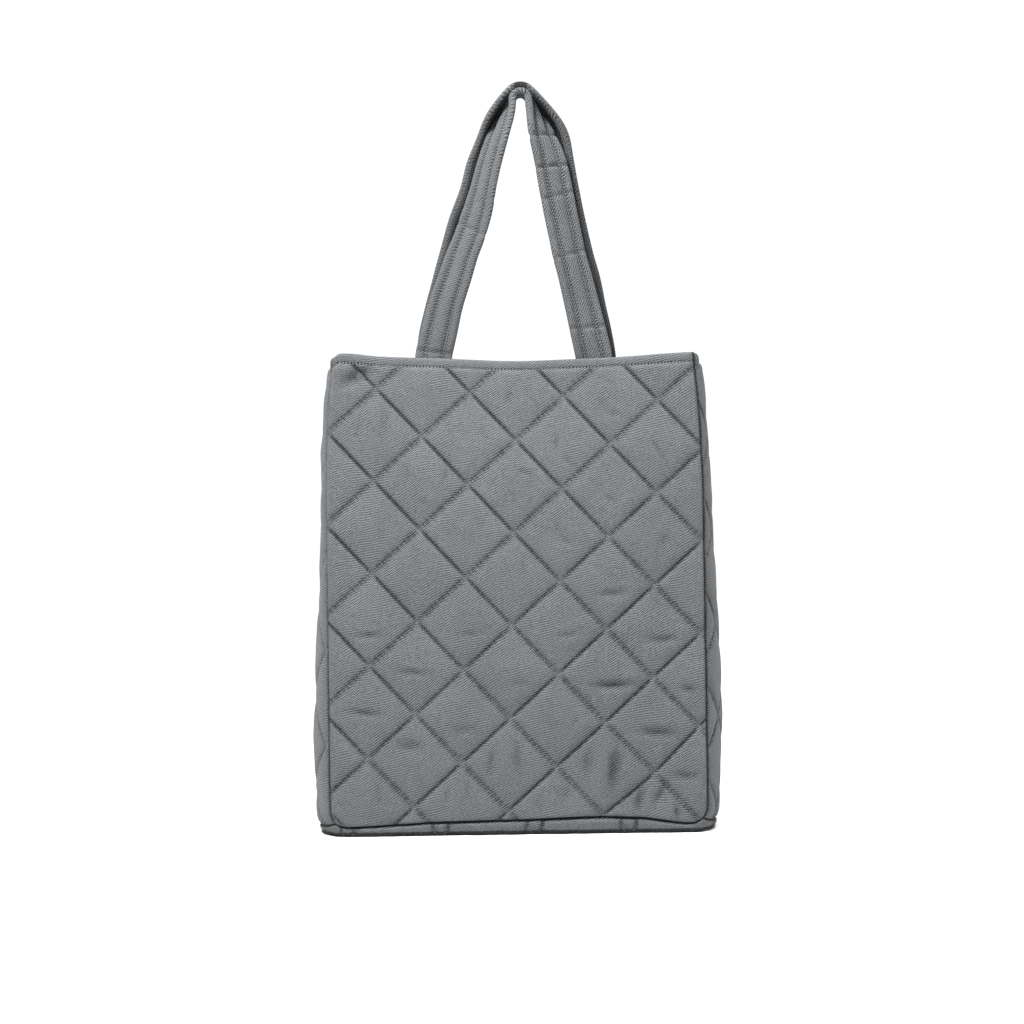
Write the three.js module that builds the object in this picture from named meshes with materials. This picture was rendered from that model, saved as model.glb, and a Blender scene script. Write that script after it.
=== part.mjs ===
// A quilted tote bag: two wide padded panels, two side gussets and a base are sewn into an open box, and two padded
// straps rise from inside the rim and nest in one fold at their top. Lengths are millimetres. X runs across the
// front, Y from the front to the back and Z up from the floor that the bag stands on.
import * as THREE from "three";

// Body
const PANEL_WIDTH = 332; // side seam to side seam where the bag is widest
const BODY_HEIGHT = 418; // floor to the rim at mid-width
const BASE_DEPTH = 110; // front seam to back seam at the base
const RIM_LIFT = 9.5; // how far the rim climbs from mid-width towards the left side seam
const RIM_DIP = 10; // how far the middle of the rim is drawn inwards
const SEAM_LIFT = 13; // height of the base seam above the floor at mid-width
const PANEL_BELLY = 5; // how far a wide panel bows outwards
const GUSSET_SWELL = 14; // how far a gusset bows outwards
const CORNER_RADIUS = 14; // the wide panels' lower corners
const CORNER_DEPTH = 30; // how far from a wide panel its rounded corners fade out
const BASE_ROLL = 14; // width of the rounded border of the base
const BASE_THICKNESS = 5; // the padded floor of the bag
const CLOTH_HEIGHT = BODY_HEIGHT - SEAM_LIFT; // base seam to rim

// Padded cloth
const WALL = 1.6; // cloth, wadding and lining pressed flat at a line of stitching
const PUFF = 4.4; // how far the middle of a diamond stands above its stitching
const DIAMOND_WIDTH = 82.9; // side corner to side corner
const DIAMOND_HEIGHT = 81.4; // bottom corner to top corner
const DIAMOND_FULLNESS = 0.6; // power of a diamond's rise: less is flatter on top and steeper at its stitching
const HEM_HEIGHT = 8; // rim to the line of hem stitching
const HEM_PUFF = 2.2; // how far the folded hem stands above its stitching
const SEAM_GAP = 0.7; // between the edges of two panels along a seam
const NARROWEST_STEP = 2.5; // least distance between two rows or columns of nodes
const VIEW_ROUNDS = 6; // rounds that find the cloth's point at a place in the front view
const VIEW_MARGIN = 0.2; // how far past the cloth's edges that point may lie, as a share of the cloth
const SLOPE_STEP = 0.01; // step between the points that give the cloth's slope, in shares of its size
const BORDERS = [0, 7, 14]; // distances of the border's nodes from a seam
const ROLL_BORDERS = [0, 2.8, 7, 14]; // the same on the base, whose border rolls up to its seam

// Straps
const HANDLE_DROP = 235; // rim to the centre of the fold at the top
const HANDLE_WIDTH = 32.6;
const HANDLE_THICKNESS = 6.4;
const HANDLE_CLEARANCE = 0.6; // between a strap and what it lies on
const TAB_LENGTH = 26; // strap end sewn inside the rim
const TAB_THICKNESS = 4;
const FOLD_RADIUS = 8; // inner strap's middle line, round the fold
const APEX_SHIFT = 10; // the fold stands this far to the right of mid-width
const STRAP_RINGS = 44; // sections along a strap

// The box's plan at each share of the side seam's height. Width, depth, left and right are shares of PANEL_WIDTH,
// BASE_DEPTH and the two gussets' GUSSET_SWELL; bow is a share of PANEL_BELLY outwards, or of RIM_DIP inwards where
// it is negative.
const BODY_SECTIONS = [
  { height: 0.0, width: 0.995, depth: 1.0, left: 0.88, right: 0.77, bow: 0.0 },
  { height: 0.07, width: 1.0, depth: 1.0, left: 0.93, right: 0.76, bow: 0.35 },
  { height: 0.2, width: 1.0, depth: 1.0, left: 0.95, right: 0.96, bow: 0.8 },
  { height: 0.36, width: 1.0, depth: 0.985, left: 0.76, right: 0.9, bow: 1.0 },
  { height: 0.58, width: 1.0, depth: 0.96, left: 0.36, right: 0.61, bow: 0.7 },
  { height: 0.74, width: 0.998, depth: 0.93, left: 0.26, right: 0.45, bow: 0.1 },
  { height: 0.88, width: 0.983, depth: 0.89, left: 0.25, right: 0.41, bow: -0.55 },
  { height: 1.0, width: 0.958, depth: 0.84, left: 0.2, right: 0.5, bow: -1.0 },
];

// The rim and the base seam of a wide panel across it, as shares of RIM_LIFT and SEAM_LIFT.
const EDGE_SECTIONS = [
  { across: -1.0, rim: 0.93, seam: 0.6 },
  { across: -0.75, rim: 0.57, seam: 0.71 },
  { across: -0.4, rim: 0.33, seam: 0.93 },
  { across: 0.0, rim: 0.0, seam: 1.0 },
  { across: 0.35, rim: 0.11, seam: 1.14 },
  { across: 0.65, rim: 0.27, seam: 1.02 },
  { across: 0.85, rim: 0.47, seam: 0.83 },
  { across: 1.0, rim: 0.57, seam: 0.64 },
];

// Where one crossing of the quilting falls on each piece, as shares of a diamond's size from the piece's middle and
// from the floor or, on the base, from its back seam, and the angles by which the rows fall and the columns lean to
// the right.
const QUILTS = {
  front: { across: -0.116, up: 0.263, fall: 3.1, lean: 2.0 },
  back: { across: 0.3, up: 0.44, fall: -1.2, lean: 0.5 },
  left: { across: 0.62, up: 0.98, fall: 0.0, lean: 0.0 },
  right: { across: -0.34, up: 0.21, fall: 0.0, lean: 0.0 },
  base: { across: 0.2, up: 0.27, fall: 0.0, lean: 0.0 },
};

// Middle of one leg of a strap to the middle of the other where they leave the rim, and how far the pair is sewn to
// the right.
const STRAPS = {
  front: { spacing: 142.5, shift: 0.8 },
  back: { spacing: 150, shift: 3 },
};

// Each strap's legs, as shares of the way from the rim to the fold. Left and right are what is left of each leg's
// distance from the fold, inset what is left of its distance from mid-depth, and the turns are degrees from lying
// flat against the panel.
const FRONT_LEGS = [
  { rise: 0.1, left: 0.926, right: 0.913, inset: 0.95, leftTurn: 10, rightTurn: 12 },
  { rise: 0.2, left: 0.846, right: 0.819, inset: 0.89, leftTurn: 20, rightTurn: 20 },
  { rise: 0.31, left: 0.725, right: 0.711, inset: 0.82, leftTurn: 26, rightTurn: 25 },
  { rise: 0.4, left: 0.628, right: 0.613, inset: 0.76, leftTurn: 31, rightTurn: 27 },
  { rise: 0.55, left: 0.458, right: 0.489, inset: 0.65, leftTurn: 42, rightTurn: 26 },
  { rise: 0.66, left: 0.357, right: 0.405, inset: 0.57, leftTurn: 53, rightTurn: 26 },
  { rise: 0.77, left: 0.268, right: 0.315, inset: 0.48, leftTurn: 61, rightTurn: 34 },
  { rise: 0.87, left: 0.162, right: 0.19, inset: 0.35, leftTurn: 70, rightTurn: 58 },
  { rise: 0.95, left: 0.068, right: 0.1, inset: 0.15, leftTurn: 81, rightTurn: 78 },
];
const BACK_LEGS = [
  { rise: 0.1, left: 0.963, right: 0.935, inset: 0.95, leftTurn: 4, rightTurn: 4 },
  { rise: 0.2, left: 0.885, right: 0.846, inset: 0.89, leftTurn: 16, rightTurn: 10 },
  { rise: 0.31, left: 0.799, right: 0.764, inset: 0.82, leftTurn: 32, rightTurn: 20 },
  { rise: 0.4, left: 0.739, right: 0.672, inset: 0.76, leftTurn: 45, rightTurn: 28 },
  { rise: 0.55, left: 0.643, right: 0.557, inset: 0.65, leftTurn: 66, rightTurn: 40 },
  { rise: 0.66, left: 0.56, right: 0.492, inset: 0.57, leftTurn: 79, rightTurn: 49 },
  { rise: 0.77, left: 0.448, right: 0.456, inset: 0.48, leftTurn: 86, rightTurn: 62 },
  { rise: 0.87, left: 0.306, right: 0.41, inset: 0.35, leftTurn: 90, rightTurn: 77 },
  { rise: 0.95, left: 0.172, right: 0.235, inset: 0.15, leftTurn: 90, rightTurn: 87 },
];

// Half of a strap's section, edge to edge: across as a share of half its width, rise as a share of half its thickness.
const STRAP_SECTION = [
  { across: -1.0, rise: 0.0 },
  { across: -0.78, rise: 0.95 },
  { across: -0.48, rise: 0.55 },
  { across: -0.24, rise: 1.0 },
  { across: 0.24, rise: 1.0 },
  { across: 0.48, rise: 0.55 },
  { across: 0.78, rise: 0.95 },
];

const cloth = (name) => {
  const material = new THREE.MeshStandardMaterial({ color: 0x7d8184, roughness: 0.92, metalness: 0 });
  material.name = name;
  return material;
};
const clamp = THREE.MathUtils.clamp;
const mix = THREE.MathUtils.lerp;

/** A column of a table at a key, on a smooth curve through its rows. */
function read(table, key, column, at) {
  const last = table.length - 1;
  const x = clamp(at, table[0][key], table[last][key]);
  let i = 0;
  while (i < last - 1 && x > table[i + 1][key]) i++;
  const slope = (j) => {
    const a = table[Math.max(j - 1, 0)];
    const b = table[Math.min(j + 1, last)];
    return (b[column] - a[column]) / (b[key] - a[key]);
  };
  const span = table[i + 1][key] - table[i][key];
  const t = (x - table[i][key]) / span;
  const start = table[i][column];
  const end = table[i + 1][column];
  const from = slope(i) * span;
  const to = slope(i + 1) * span;
  return (
    start * (1 + 2 * t) * (1 - t) ** 2 + from * t * (1 - t) ** 2 + end * t * t * (3 - 2 * t) - to * t * t * (1 - t)
  );
}

const body = (column, v) => read(BODY_SECTIONS, "height", column, v);
const rimHeight = (u) => BODY_HEIGHT + RIM_LIFT * read(EDGE_SECTIONS, "across", "rim", u);
const seamHeight = (u) => SEAM_LIFT * read(EDGE_SECTIONS, "across", "seam", u);
const halfWidth = (v, inset) => (body("width", v) * PANEL_WIDTH) / 2 - inset;
const halfDepth = (v, inset) => (body("depth", v) * BASE_DEPTH) / 2 - inset;

/** Rounds the wide panels' lower corners, on whichever piece the point belongs to; seam is its base seam's height. */
function rounded(x, y, z, seam) {
  const point = new THREE.Vector3(x, y, z);
  const fromSide = halfWidth(0, 0) - Math.abs(point.x);
  const aboveSeam = point.z - seam;
  const behind = clamp((halfDepth(0, 0) - Math.abs(point.y)) / CORNER_DEPTH, 0, 1);
  const fade = (1 - behind) ** 2;
  const s = clamp(1 - fromSide / CORNER_RADIUS, 0, 1);
  const t = clamp(1 - aboveSeam / CORNER_RADIUS, 0, 1);
  point.x -= Math.sign(point.x) * CORNER_RADIUS * fade * s * (1 - Math.sqrt(1 - (t * t) / 2));
  point.z += CORNER_RADIUS * fade * t * (1 - Math.sqrt(1 - (s * s) / 2));
  return point;
}

/** A point of the front panel: u from -1 to 1 across it, v from 0 at the base seam to 1 at the rim. The outer face
 * has no inset, and the inner face is set in by the wall. */
function panelPoint(u, v, inset) {
  const bow = body("bow", v);
  const out = (1 - u * u) * bow * (bow > 0 ? PANEL_BELLY : RIM_DIP);
  const low = seamHeight(u);
  return rounded(u * halfWidth(v, inset), -halfDepth(v, inset) - out, mix(low + inset, rimHeight(u), v), low);
}

/** A point of a gusset, drawn as the one on the right: u from -1 at its front seam to 1 at its back seam. */
function gussetPoint(swell, u, v, inset) {
  const share = (u + 1) / 2;
  const low = mix(seamHeight(1), seamHeight(-1), share);
  const high = mix(rimHeight(1), rimHeight(-1), share);
  const out = (1 - u * u) * body(swell, v) * GUSSET_SWELL;
  return rounded(halfWidth(v, inset) + out, u * halfDepth(v, inset), mix(low + inset, high, v), low);
}

/** A point of the base: u from -1 to 1 across it, v from 0 at the back seam to 1 at the front seam. It is flat on the
 * floor inside a border that rolls up to the seam. */
function basePoint(u, v, inset) {
  const along = 1 - 2 * v;
  const end = halfWidth(0, inset) + (1 - along * along) * body(u < 0 ? "left" : "right", 0) * GUSSET_SWELL;
  const x = u * end;
  const y = along * halfDepth(0, inset);
  const fromEdge = Math.min(end - Math.abs(x), halfDepth(0, inset) - Math.abs(y));
  const near = clamp(1 - fromEdge / BASE_ROLL, 0, 1);
  const roll = 1 - Math.sqrt(1 - near * near);
  const lift = mix(seamHeight(-u), seamHeight(u), v);
  return rounded(x, y, inset > 0 ? mix(BASE_THICKNESS, lift + inset, roll) : lift * roll, lift);
}

/** The front view's place of a point of the wide panels' cloth, and the cloth's point at a place. */
const panelView = {
  place: (x, z) => {
    const [u, v] = [(2 * x) / PANEL_WIDTH, z / CLOTH_HEIGHT];
    return [u * halfWidth(v, 0), mix(seamHeight(u), rimHeight(u), v)];
  },
  cloth: (x, z) => {
    // The two shares depend on each other, so they are found in a few rounds.
    let [u, v] = [0, 0];
    for (let n = 0; n < VIEW_ROUNDS; n++) {
      u = clamp(x / halfWidth(v, 0), -1 - VIEW_MARGIN, 1 + VIEW_MARGIN);
      v = clamp((z - seamHeight(u)) / (rimHeight(u) - seamHeight(u)), -VIEW_MARGIN, 1 + VIEW_MARGIN);
    }
    return [(u * PANEL_WIDTH) / 2, v * CLOTH_HEIGHT];
  },
};
const gussetFoot = (seamHeight(-1) + seamHeight(1)) / 2;
const gussetView = { place: (x, z) => [x, z + gussetFoot], cloth: (x, z) => [x, z - gussetFoot] };
const flatView = { place: (x, z) => [x, z], cloth: (x, z) => [x, z] };

/** How far the cloth stands above its stitching, in shares of PUFF, at a point given in diamonds from a corner. */
function pillow(across, up) {
  const ridge = Math.abs(Math.sin(Math.PI * (across + up)) * Math.sin(Math.PI * (across - up)));
  return ridge ** DIAMOND_FULLNESS;
}

/** The rows and columns of nodes that follow the quilting of a piece of this width and height, a quarter of a diamond
 * apart, between borders whose nodes stand at set distances from its sides and its foot. Each node holds its place,
 * its puff and its count of quarter diamonds. */
function quiltNodes({ width, height, quilt, view, hemmed, borders }) {
  const stepX = DIAMOND_WIDTH / 4;
  const stepZ = DIAMOND_HEIGHT / 4;
  const fall = Math.tan(THREE.MathUtils.degToRad(quilt.fall)) * stepX;
  const lean = Math.tan(THREE.MathUtils.degToRad(quilt.lean)) * stepZ;
  const startX = quilt.across * DIAMOND_WIDTH;
  const startZ = quilt.up * DIAMOND_HEIGHT;
  const top = hemmed ? height - HEM_HEIGHT : height;
  const [side, foot] = [width / 2 - Math.max(...borders), Math.max(...borders)];
  const head = hemmed ? top : top - foot;
  const leant = ((view.place(0, height / 2)[1] - startZ) / stepZ) * lean;
  const within = (start, step, low, high) => {
    const found = [];
    for (let n = Math.ceil((low + step / 4 - start) / step); start + n * step < high - step / 4; n++) found.push(n);
    return found;
  };
  const columns = within(startX + leant, stepX, -side, side);
  const rows = within(startZ, stepZ, view.place(0, foot)[1], view.place(0, head)[1]);
  const lattice = (m, j) => {
    const row = columns.map((k, i) => {
      const [x, z] = view.cloth(startX + k * stepX + m * lean, startZ + m * stepZ - k * fall);
      const [left, right] = [(i + 1) * NARROWEST_STEP, (columns.length - i) * NARROWEST_STEP];
      const [below, above] = [(j + 1) * NARROWEST_STEP, (rows.length - j) * NARROWEST_STEP];
      return { x: clamp(x, left - side, side - right), z: clamp(z, foot + below, head - above), k, m };
    });
    const left = borders.map((far) => ({ ...row[0], x: far - width / 2 }));
    const right = borders.map((far) => ({ ...row[row.length - 1], x: width / 2 - far })).reverse();
    return [...left, ...row, ...right];
  };
  const level = (row, z, m) => row.map((node) => ({ ...node, z, m }));
  const grid = rows.map(lattice);
  const [first, last] = [grid[0], grid[grid.length - 1]];
  grid.unshift(...borders.map((far) => level(first, far, first[0].m - 1)));
  if (hemmed) grid.push(level(last, top, last[0].m + 1));
  else grid.push(...borders.map((far) => level(last, height - far, last[0].m + 1)).reverse());
  for (const node of grid.flat()) {
    const [x, z] = view.place(node.x, node.z);
    const up = (z - startZ + (x - startX) * (fall / stepX)) / stepZ;
    const across = (x - startX - up * lean) / stepX;
    const edge = Math.min(width / 2 - Math.abs(node.x), node.z, top - node.z);
    node.puff = PUFF * pillow(across / 4, up / 4) * Math.min(1, edge / (stepX / 2));
  }
  if (hemmed) {
    const hem = [
      { share: 0.5, puff: HEM_PUFF },
      { share: 1, puff: HEM_PUFF / 2 },
    ];
    for (const { share, puff } of hem) {
      const ends = (i) => i < borders.length || i >= last.length - borders.length;
      grid.push(level(last, top + share * HEM_HEIGHT, 0).map((node, i) => ({ ...node, puff: ends(i) ? 0 : puff })));
    }
  }
  return grid;
}

function geometry(points, index) {
  const position = points.flatMap((p) => [p.x, p.y, p.z]);
  return new THREE.BufferGeometry()
    .setAttribute("position", new THREE.Float32BufferAttribute(position, 3))
    .setIndex(index);
}

/** Which end of an edge leads, so that the two pieces of a seam split its sides alike. */
const outwardness = (p) => Math.abs(p.x) + Math.abs(p.y) + p.z;

/** A closed body between an outer and an inner face that share one grid of nodes. */
function closedSheet(grid, outer, inner) {
  const across = grid[0].length;
  const count = grid.length * across;
  const faces = [grid.map((row) => row.map(outer)), grid.map((row) => row.map(inner))];
  const points = faces.flat(2);
  const index = [];
  const at = (side, j, i) => side * count + j * across + i;
  for (let j = 0; j + 1 < grid.length; j++) {
    for (let i = 0; i + 1 < across; i++) {
      const { k, m } = grid[j][i];
      const rising = THREE.MathUtils.euclideanModulo(k - m, 4) === 0 || THREE.MathUtils.euclideanModulo(k + m, 4) === 1;
      for (const side of [0, 1]) {
        const corners = [at(side, j, i), at(side, j, i + 1), at(side, j + 1, i + 1), at(side, j + 1, i)];
        if (side) corners.reverse();
        const [a, b, c, d] = corners;
        const alongFirst = side ? !rising : rising;
        if (alongFirst) index.push(a, b, c, a, c, d);
        else index.push(a, b, d, b, c, d);
      }
    }
  }
  const border = [];
  for (let i = 0; i + 1 < across; i++) border.push([0, i]);
  for (let j = 0; j + 1 < grid.length; j++) border.push([j, across - 1]);
  for (let i = across - 1; i > 0; i--) border.push([grid.length - 1, i]);
  for (let j = grid.length - 1; j > 0; j--) border.push([j, 0]);
  border.forEach(([j, i], n) => {
    const [nextJ, nextI] = border[(n + 1) % border.length];
    const [a, b, c, d] = [at(0, j, i), at(0, nextJ, nextI), at(1, nextJ, nextI), at(1, j, i)];
    if (outwardness(points[a]) > outwardness(points[b])) index.push(a, d, c, a, c, b);
    else index.push(a, d, b, b, d, c);
  });
  return geometry(points, index);
}

/** A sewn piece: point gives its stitched level, and the cloth is puffed outwards from it. */
function quiltedPiece({ point, width, height, quilt, view, hemmed = false, puffed = true, borders = BORDERS }) {
  const grid = quiltNodes({ width, height, quilt, view, hemmed, borders });
  const gapU = SEAM_GAP / width;
  const gapV = SEAM_GAP / 2 / height;
  const shares = (node) => [
    clamp((2 * node.x) / width, -1 + gapU, 1 - gapU),
    clamp(node.z / height, gapV, hemmed ? 1 : 1 - gapV),
  ];
  const outer = (node) => {
    const [u, v] = shares(node);
    const at = point(u, v, 0);
    if (!puffed) return at;
    const [below, above] = [Math.max(v - SLOPE_STEP, 0), Math.min(v + SLOPE_STEP, 1)];
    const alongU = point(u + SLOPE_STEP, v, 0).sub(point(u - SLOPE_STEP, v, 0));
    const alongV = point(u, above, 0).sub(point(u, below, 0));
    return at.addScaledVector(alongU.cross(alongV).normalize(), node.puff);
  };
  return closedSheet(grid, outer, (node) => point(...shares(node), WALL));
}

/** A strap from its sewn tab inside the rim, up one leg, through the fold and down the other. side is -1 for the front
 * strap and 1 for the back one, radius is its middle line's in the fold and arc half the fold's angle. */
function strap({ legs, side, spacing, shift, radius, arc }) {
  const stations = [];
  const flat = (x, z) => {
    const u = (-side * x) / halfWidth(1, WALL);
    const low = seamHeight(u);
    const v = (z - low) / (rimHeight(u) - low);
    const wall = panelPoint(u, v, WALL);
    return -side * wall.y;
  };
  const leg = (hand) => {
    const sewn = shift + (hand * spacing) / 2;
    const rim = rimHeight((-side * sewn) / halfWidth(1, WALL));
    const off = HANDLE_CLEARANCE + TAB_THICKNESS / 2;
    const found = [1, 0.5, 0].map((share) => {
      const z = rim - share * TAB_LENGTH;
      const slope = (flat(sewn + 1, z) - flat(sewn - 1, z)) / 2;
      const turn = Math.atan(slope);
      return { place: new THREE.Vector3(sewn, flat(sewn, z) - side * off, z), turn, thickness: TAB_THICKNESS };
    });
    const foot = found[2];
    const top = BODY_HEIGHT + HANDLE_DROP;
    for (const row of legs) {
      const spread = hand < 0 ? row.left : row.right;
      const turned = THREE.MathUtils.degToRad(hand < 0 ? row.leftTurn : row.rightTurn);
      const reach = Math.abs(sewn - APEX_SHIFT) - radius;
      found.push({
        place: new THREE.Vector3(
          APEX_SHIFT + hand * (radius + reach * spread),
          foot.place.y * row.inset,
          mix(foot.place.z, top, row.rise),
        ),
        turn: mix(foot.turn, 0, row.rise) - hand * side * turned,
        thickness: HANDLE_THICKNESS,
      });
    }
    return found;
  };
  const half = Math.PI / 2;
  for (const station of leg(-1)) stations.push(station);
  for (const share of [-1, -0.5, 0, 0.5, 1]) {
    const angle = THREE.MathUtils.degToRad(share * arc);
    stations.push({
      place: new THREE.Vector3(
        APEX_SHIFT + radius * Math.sin(angle),
        0,
        BODY_HEIGHT + HANDLE_DROP + radius * Math.cos(angle),
      ),
      turn: side * half,
      thickness: HANDLE_THICKNESS,
    });
  }
  for (const station of leg(1).reverse()) {
    stations.push({ ...station, turn: station.turn + side * Math.PI });
  }
  return sweep(stations);
}

/** A closed strap through its stations: each has its place, the turn of its width about Z and its thickness. */
function sweep(stations) {
  const path = new THREE.CatmullRomCurve3(
    stations.map((s) => s.place),
    false,
    "centripetal",
  );
  const last = stations.length - 1;
  const keyed = stations.map((s, n) => ({ at: n / last, turn: s.turn, thickness: s.thickness }));
  const underside = STRAP_SECTION.map(({ across, rise }) => ({ across: -across, rise: -rise }));
  const section = [...STRAP_SECTION, ...underside];
  const points = [];
  for (let n = 0; n <= STRAP_RINGS; n++) {
    const t = path.getUtoTmapping(n / STRAP_RINGS);
    const centre = path.getPoint(t);
    const tangent = path.getTangent(t);
    const turn = read(keyed, "at", "turn", t);
    const thickness = read(keyed, "at", "thickness", t);
    const width = new THREE.Vector3(Math.cos(turn), Math.sin(turn), 0);
    width.addScaledVector(tangent, -width.dot(tangent)).normalize();
    const normal = new THREE.Vector3().crossVectors(width, tangent);
    for (const { across, rise } of section) {
      const side = centre.clone().addScaledVector(width, (across * HANDLE_WIDTH) / 2);
      points.push(side.addScaledVector(normal, (rise * thickness) / 2));
    }
  }
  const ring = section.length;
  const top = STRAP_RINGS * ring;
  const index = [];
  for (let n = 0; n < STRAP_RINGS; n++) {
    for (let i = 0; i < ring; i++) {
      const [a, b] = [n * ring + i, n * ring + ((i + 1) % ring)];
      index.push(a, b, a + ring, b, b + ring, a + ring);
    }
  }
  for (let i = 0; i < ring / 2; i++) {
    const [a, b, c, d] = [i, i + 1, ring - 1 - i, (ring - i) % ring];
    if (b !== c) index.push(a, c, b, top + a, top + b, top + c);
    if (a !== d) index.push(a, d, c, top + a, top + c, top + d);
  }
  return geometry(points, index);
}

function named(name, geometry, turned = false) {
  const mesh = new THREE.Mesh(geometry, cloth(name));
  mesh.name = name;
  if (turned) mesh.rotation.z = Math.PI;
  return mesh;
}

const wide = { width: PANEL_WIDTH, height: CLOTH_HEIGHT, hemmed: true, point: panelPoint, view: panelView };
const narrow = { width: BASE_DEPTH, height: CLOTH_HEIGHT, hemmed: true, view: gussetView };
const floor = { width: PANEL_WIDTH, height: BASE_DEPTH, puffed: false, borders: ROLL_BORDERS, view: flatView };
const swollen = (side) => (u, v, inset) => gussetPoint(side, u, v, inset);

const bag = new THREE.Group();
bag.add(
  named("front_panel", quiltedPiece({ ...wide, quilt: QUILTS.front })),
  named("back_panel", quiltedPiece({ ...wide, quilt: QUILTS.back }), true),
  named("right_gusset", quiltedPiece({ ...narrow, quilt: QUILTS.right, point: swollen("right") })),
  named("left_gusset", quiltedPiece({ ...narrow, quilt: QUILTS.left, point: swollen("left") }), true),
  named("base", quiltedPiece({ ...floor, quilt: QUILTS.base, point: basePoint })),
);

const handles = new THREE.Group();
const nested = FOLD_RADIUS + HANDLE_THICKNESS + HANDLE_CLEARANCE;
handles.add(
  named("front_handle", strap({ ...STRAPS.front, legs: FRONT_LEGS, side: -1, radius: FOLD_RADIUS, arc: 70 })),
  named("back_handle", strap({ ...STRAPS.back, legs: BACK_LEGS, side: 1, radius: nested, arc: 50 })),
);
bag.add(handles);

export default bag;
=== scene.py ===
"""A grey quilted tote bag that stands on its base with both straps up, in soft studio light.

The bag's pieces are padded cloth: two wide panels, two gussets, a base and two straps. Every piece is drawn
on the same surfaces as the solid that it stands for, in millimetres, and written to its mesh in metres.
"""

from __future__ import annotations

import logging
import math
from dataclasses import dataclass, field
from enum import Enum
from functools import cached_property
from typing import Callable, Iterable, Sequence

import bmesh
import bpy
import numpy as np
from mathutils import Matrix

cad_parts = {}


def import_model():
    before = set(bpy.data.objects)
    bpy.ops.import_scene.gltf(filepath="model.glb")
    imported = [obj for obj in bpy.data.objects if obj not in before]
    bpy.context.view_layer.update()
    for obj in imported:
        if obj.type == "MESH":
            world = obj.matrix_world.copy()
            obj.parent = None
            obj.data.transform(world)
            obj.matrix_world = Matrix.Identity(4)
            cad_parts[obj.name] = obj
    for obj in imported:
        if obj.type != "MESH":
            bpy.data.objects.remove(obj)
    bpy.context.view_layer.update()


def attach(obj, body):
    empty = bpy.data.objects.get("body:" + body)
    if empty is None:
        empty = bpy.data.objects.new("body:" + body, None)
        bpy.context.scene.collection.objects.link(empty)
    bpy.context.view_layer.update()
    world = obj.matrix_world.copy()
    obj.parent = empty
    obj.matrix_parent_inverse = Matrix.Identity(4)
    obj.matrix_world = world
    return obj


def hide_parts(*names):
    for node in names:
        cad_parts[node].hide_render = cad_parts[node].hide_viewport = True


LOG = logging.getLogger("bag")
MM = 0.001
SEED = 7

Array = np.ndarray
Socket = bpy.types.NodeSocket
Surface = Callable[[Array, Array, float], Array]


@dataclass(frozen=True)
class Table:
    """Rows of named columns, sorted by the first one and read on a smooth curve through them."""

    columns: tuple[str, ...]
    rows: tuple[tuple[float, ...], ...]

    def read(self, column: str, at: Array) -> Array:
        """Reads a column at some keys.

        Args:
            column: the column's name.
            at: the keys, held to the table's range.

        Returns:
            The column's values there.
        """
        rows = np.array(self.rows)
        keys, values = rows[:, 0], rows[:, self.columns.index(column)]
        x = np.clip(at, keys[0], keys[-1])
        i = np.clip(np.searchsorted(keys, x, side="left") - 1, 0, len(keys) - 2)
        index = np.arange(len(keys))
        before, after = np.maximum(index - 1, 0), np.minimum(index + 1, len(keys) - 1)
        slopes = (values[after] - values[before]) / (keys[after] - keys[before])
        span = keys[i + 1] - keys[i]
        t = (x - keys[i]) / span
        rest = 1 - t
        start, end = slopes[i] * span, slopes[i + 1] * span
        leaving = values[i] * (1 + 2 * t) * rest**2 + start * t * rest**2
        return leaving + values[i + 1] * t * t * (3 - 2 * t) - end * t * t * rest


# The body up its height: its width and depth, each gusset's swell and the wide panels' bow, all as shares.
BODY_SECTIONS = Table(
    ("height", "width", "depth", "left", "right", "bow"),
    (
        (0.0, 0.995, 1.0, 0.88, 0.77, 0.0),
        (0.07, 1.0, 1.0, 0.93, 0.76, 0.35),
        (0.2, 1.0, 1.0, 0.95, 0.96, 0.8),
        (0.36, 1.0, 0.985, 0.76, 0.9, 1.0),
        (0.58, 1.0, 0.96, 0.36, 0.61, 0.7),
        (0.74, 0.998, 0.93, 0.26, 0.45, 0.1),
        (0.88, 0.983, 0.89, 0.25, 0.41, -0.55),
        (1.0, 0.958, 0.84, 0.04, 0.4, -1.0),
    ),
)
# The wide panels' edges across the front: how far the rim rises and how high the base seam lies, as shares.
EDGE_SECTIONS = Table(
    ("across", "rim", "seam"),
    (
        (-1.0, 0.46, 0.6),
        (-0.955, 0.88, 0.62),
        (-0.75, 0.57, 0.71),
        (-0.4, 0.33, 0.93),
        (0.0, 0.0, 1.0),
        (0.35, 0.11, 1.14),
        (0.65, 0.27, 1.06),
        (0.75, 0.37, 0.89),
        (0.86, 0.475, 0.67),
        (0.95, 0.54, 0.63),
        (1.0, 0.57, 0.68),
    ),
)


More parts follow.
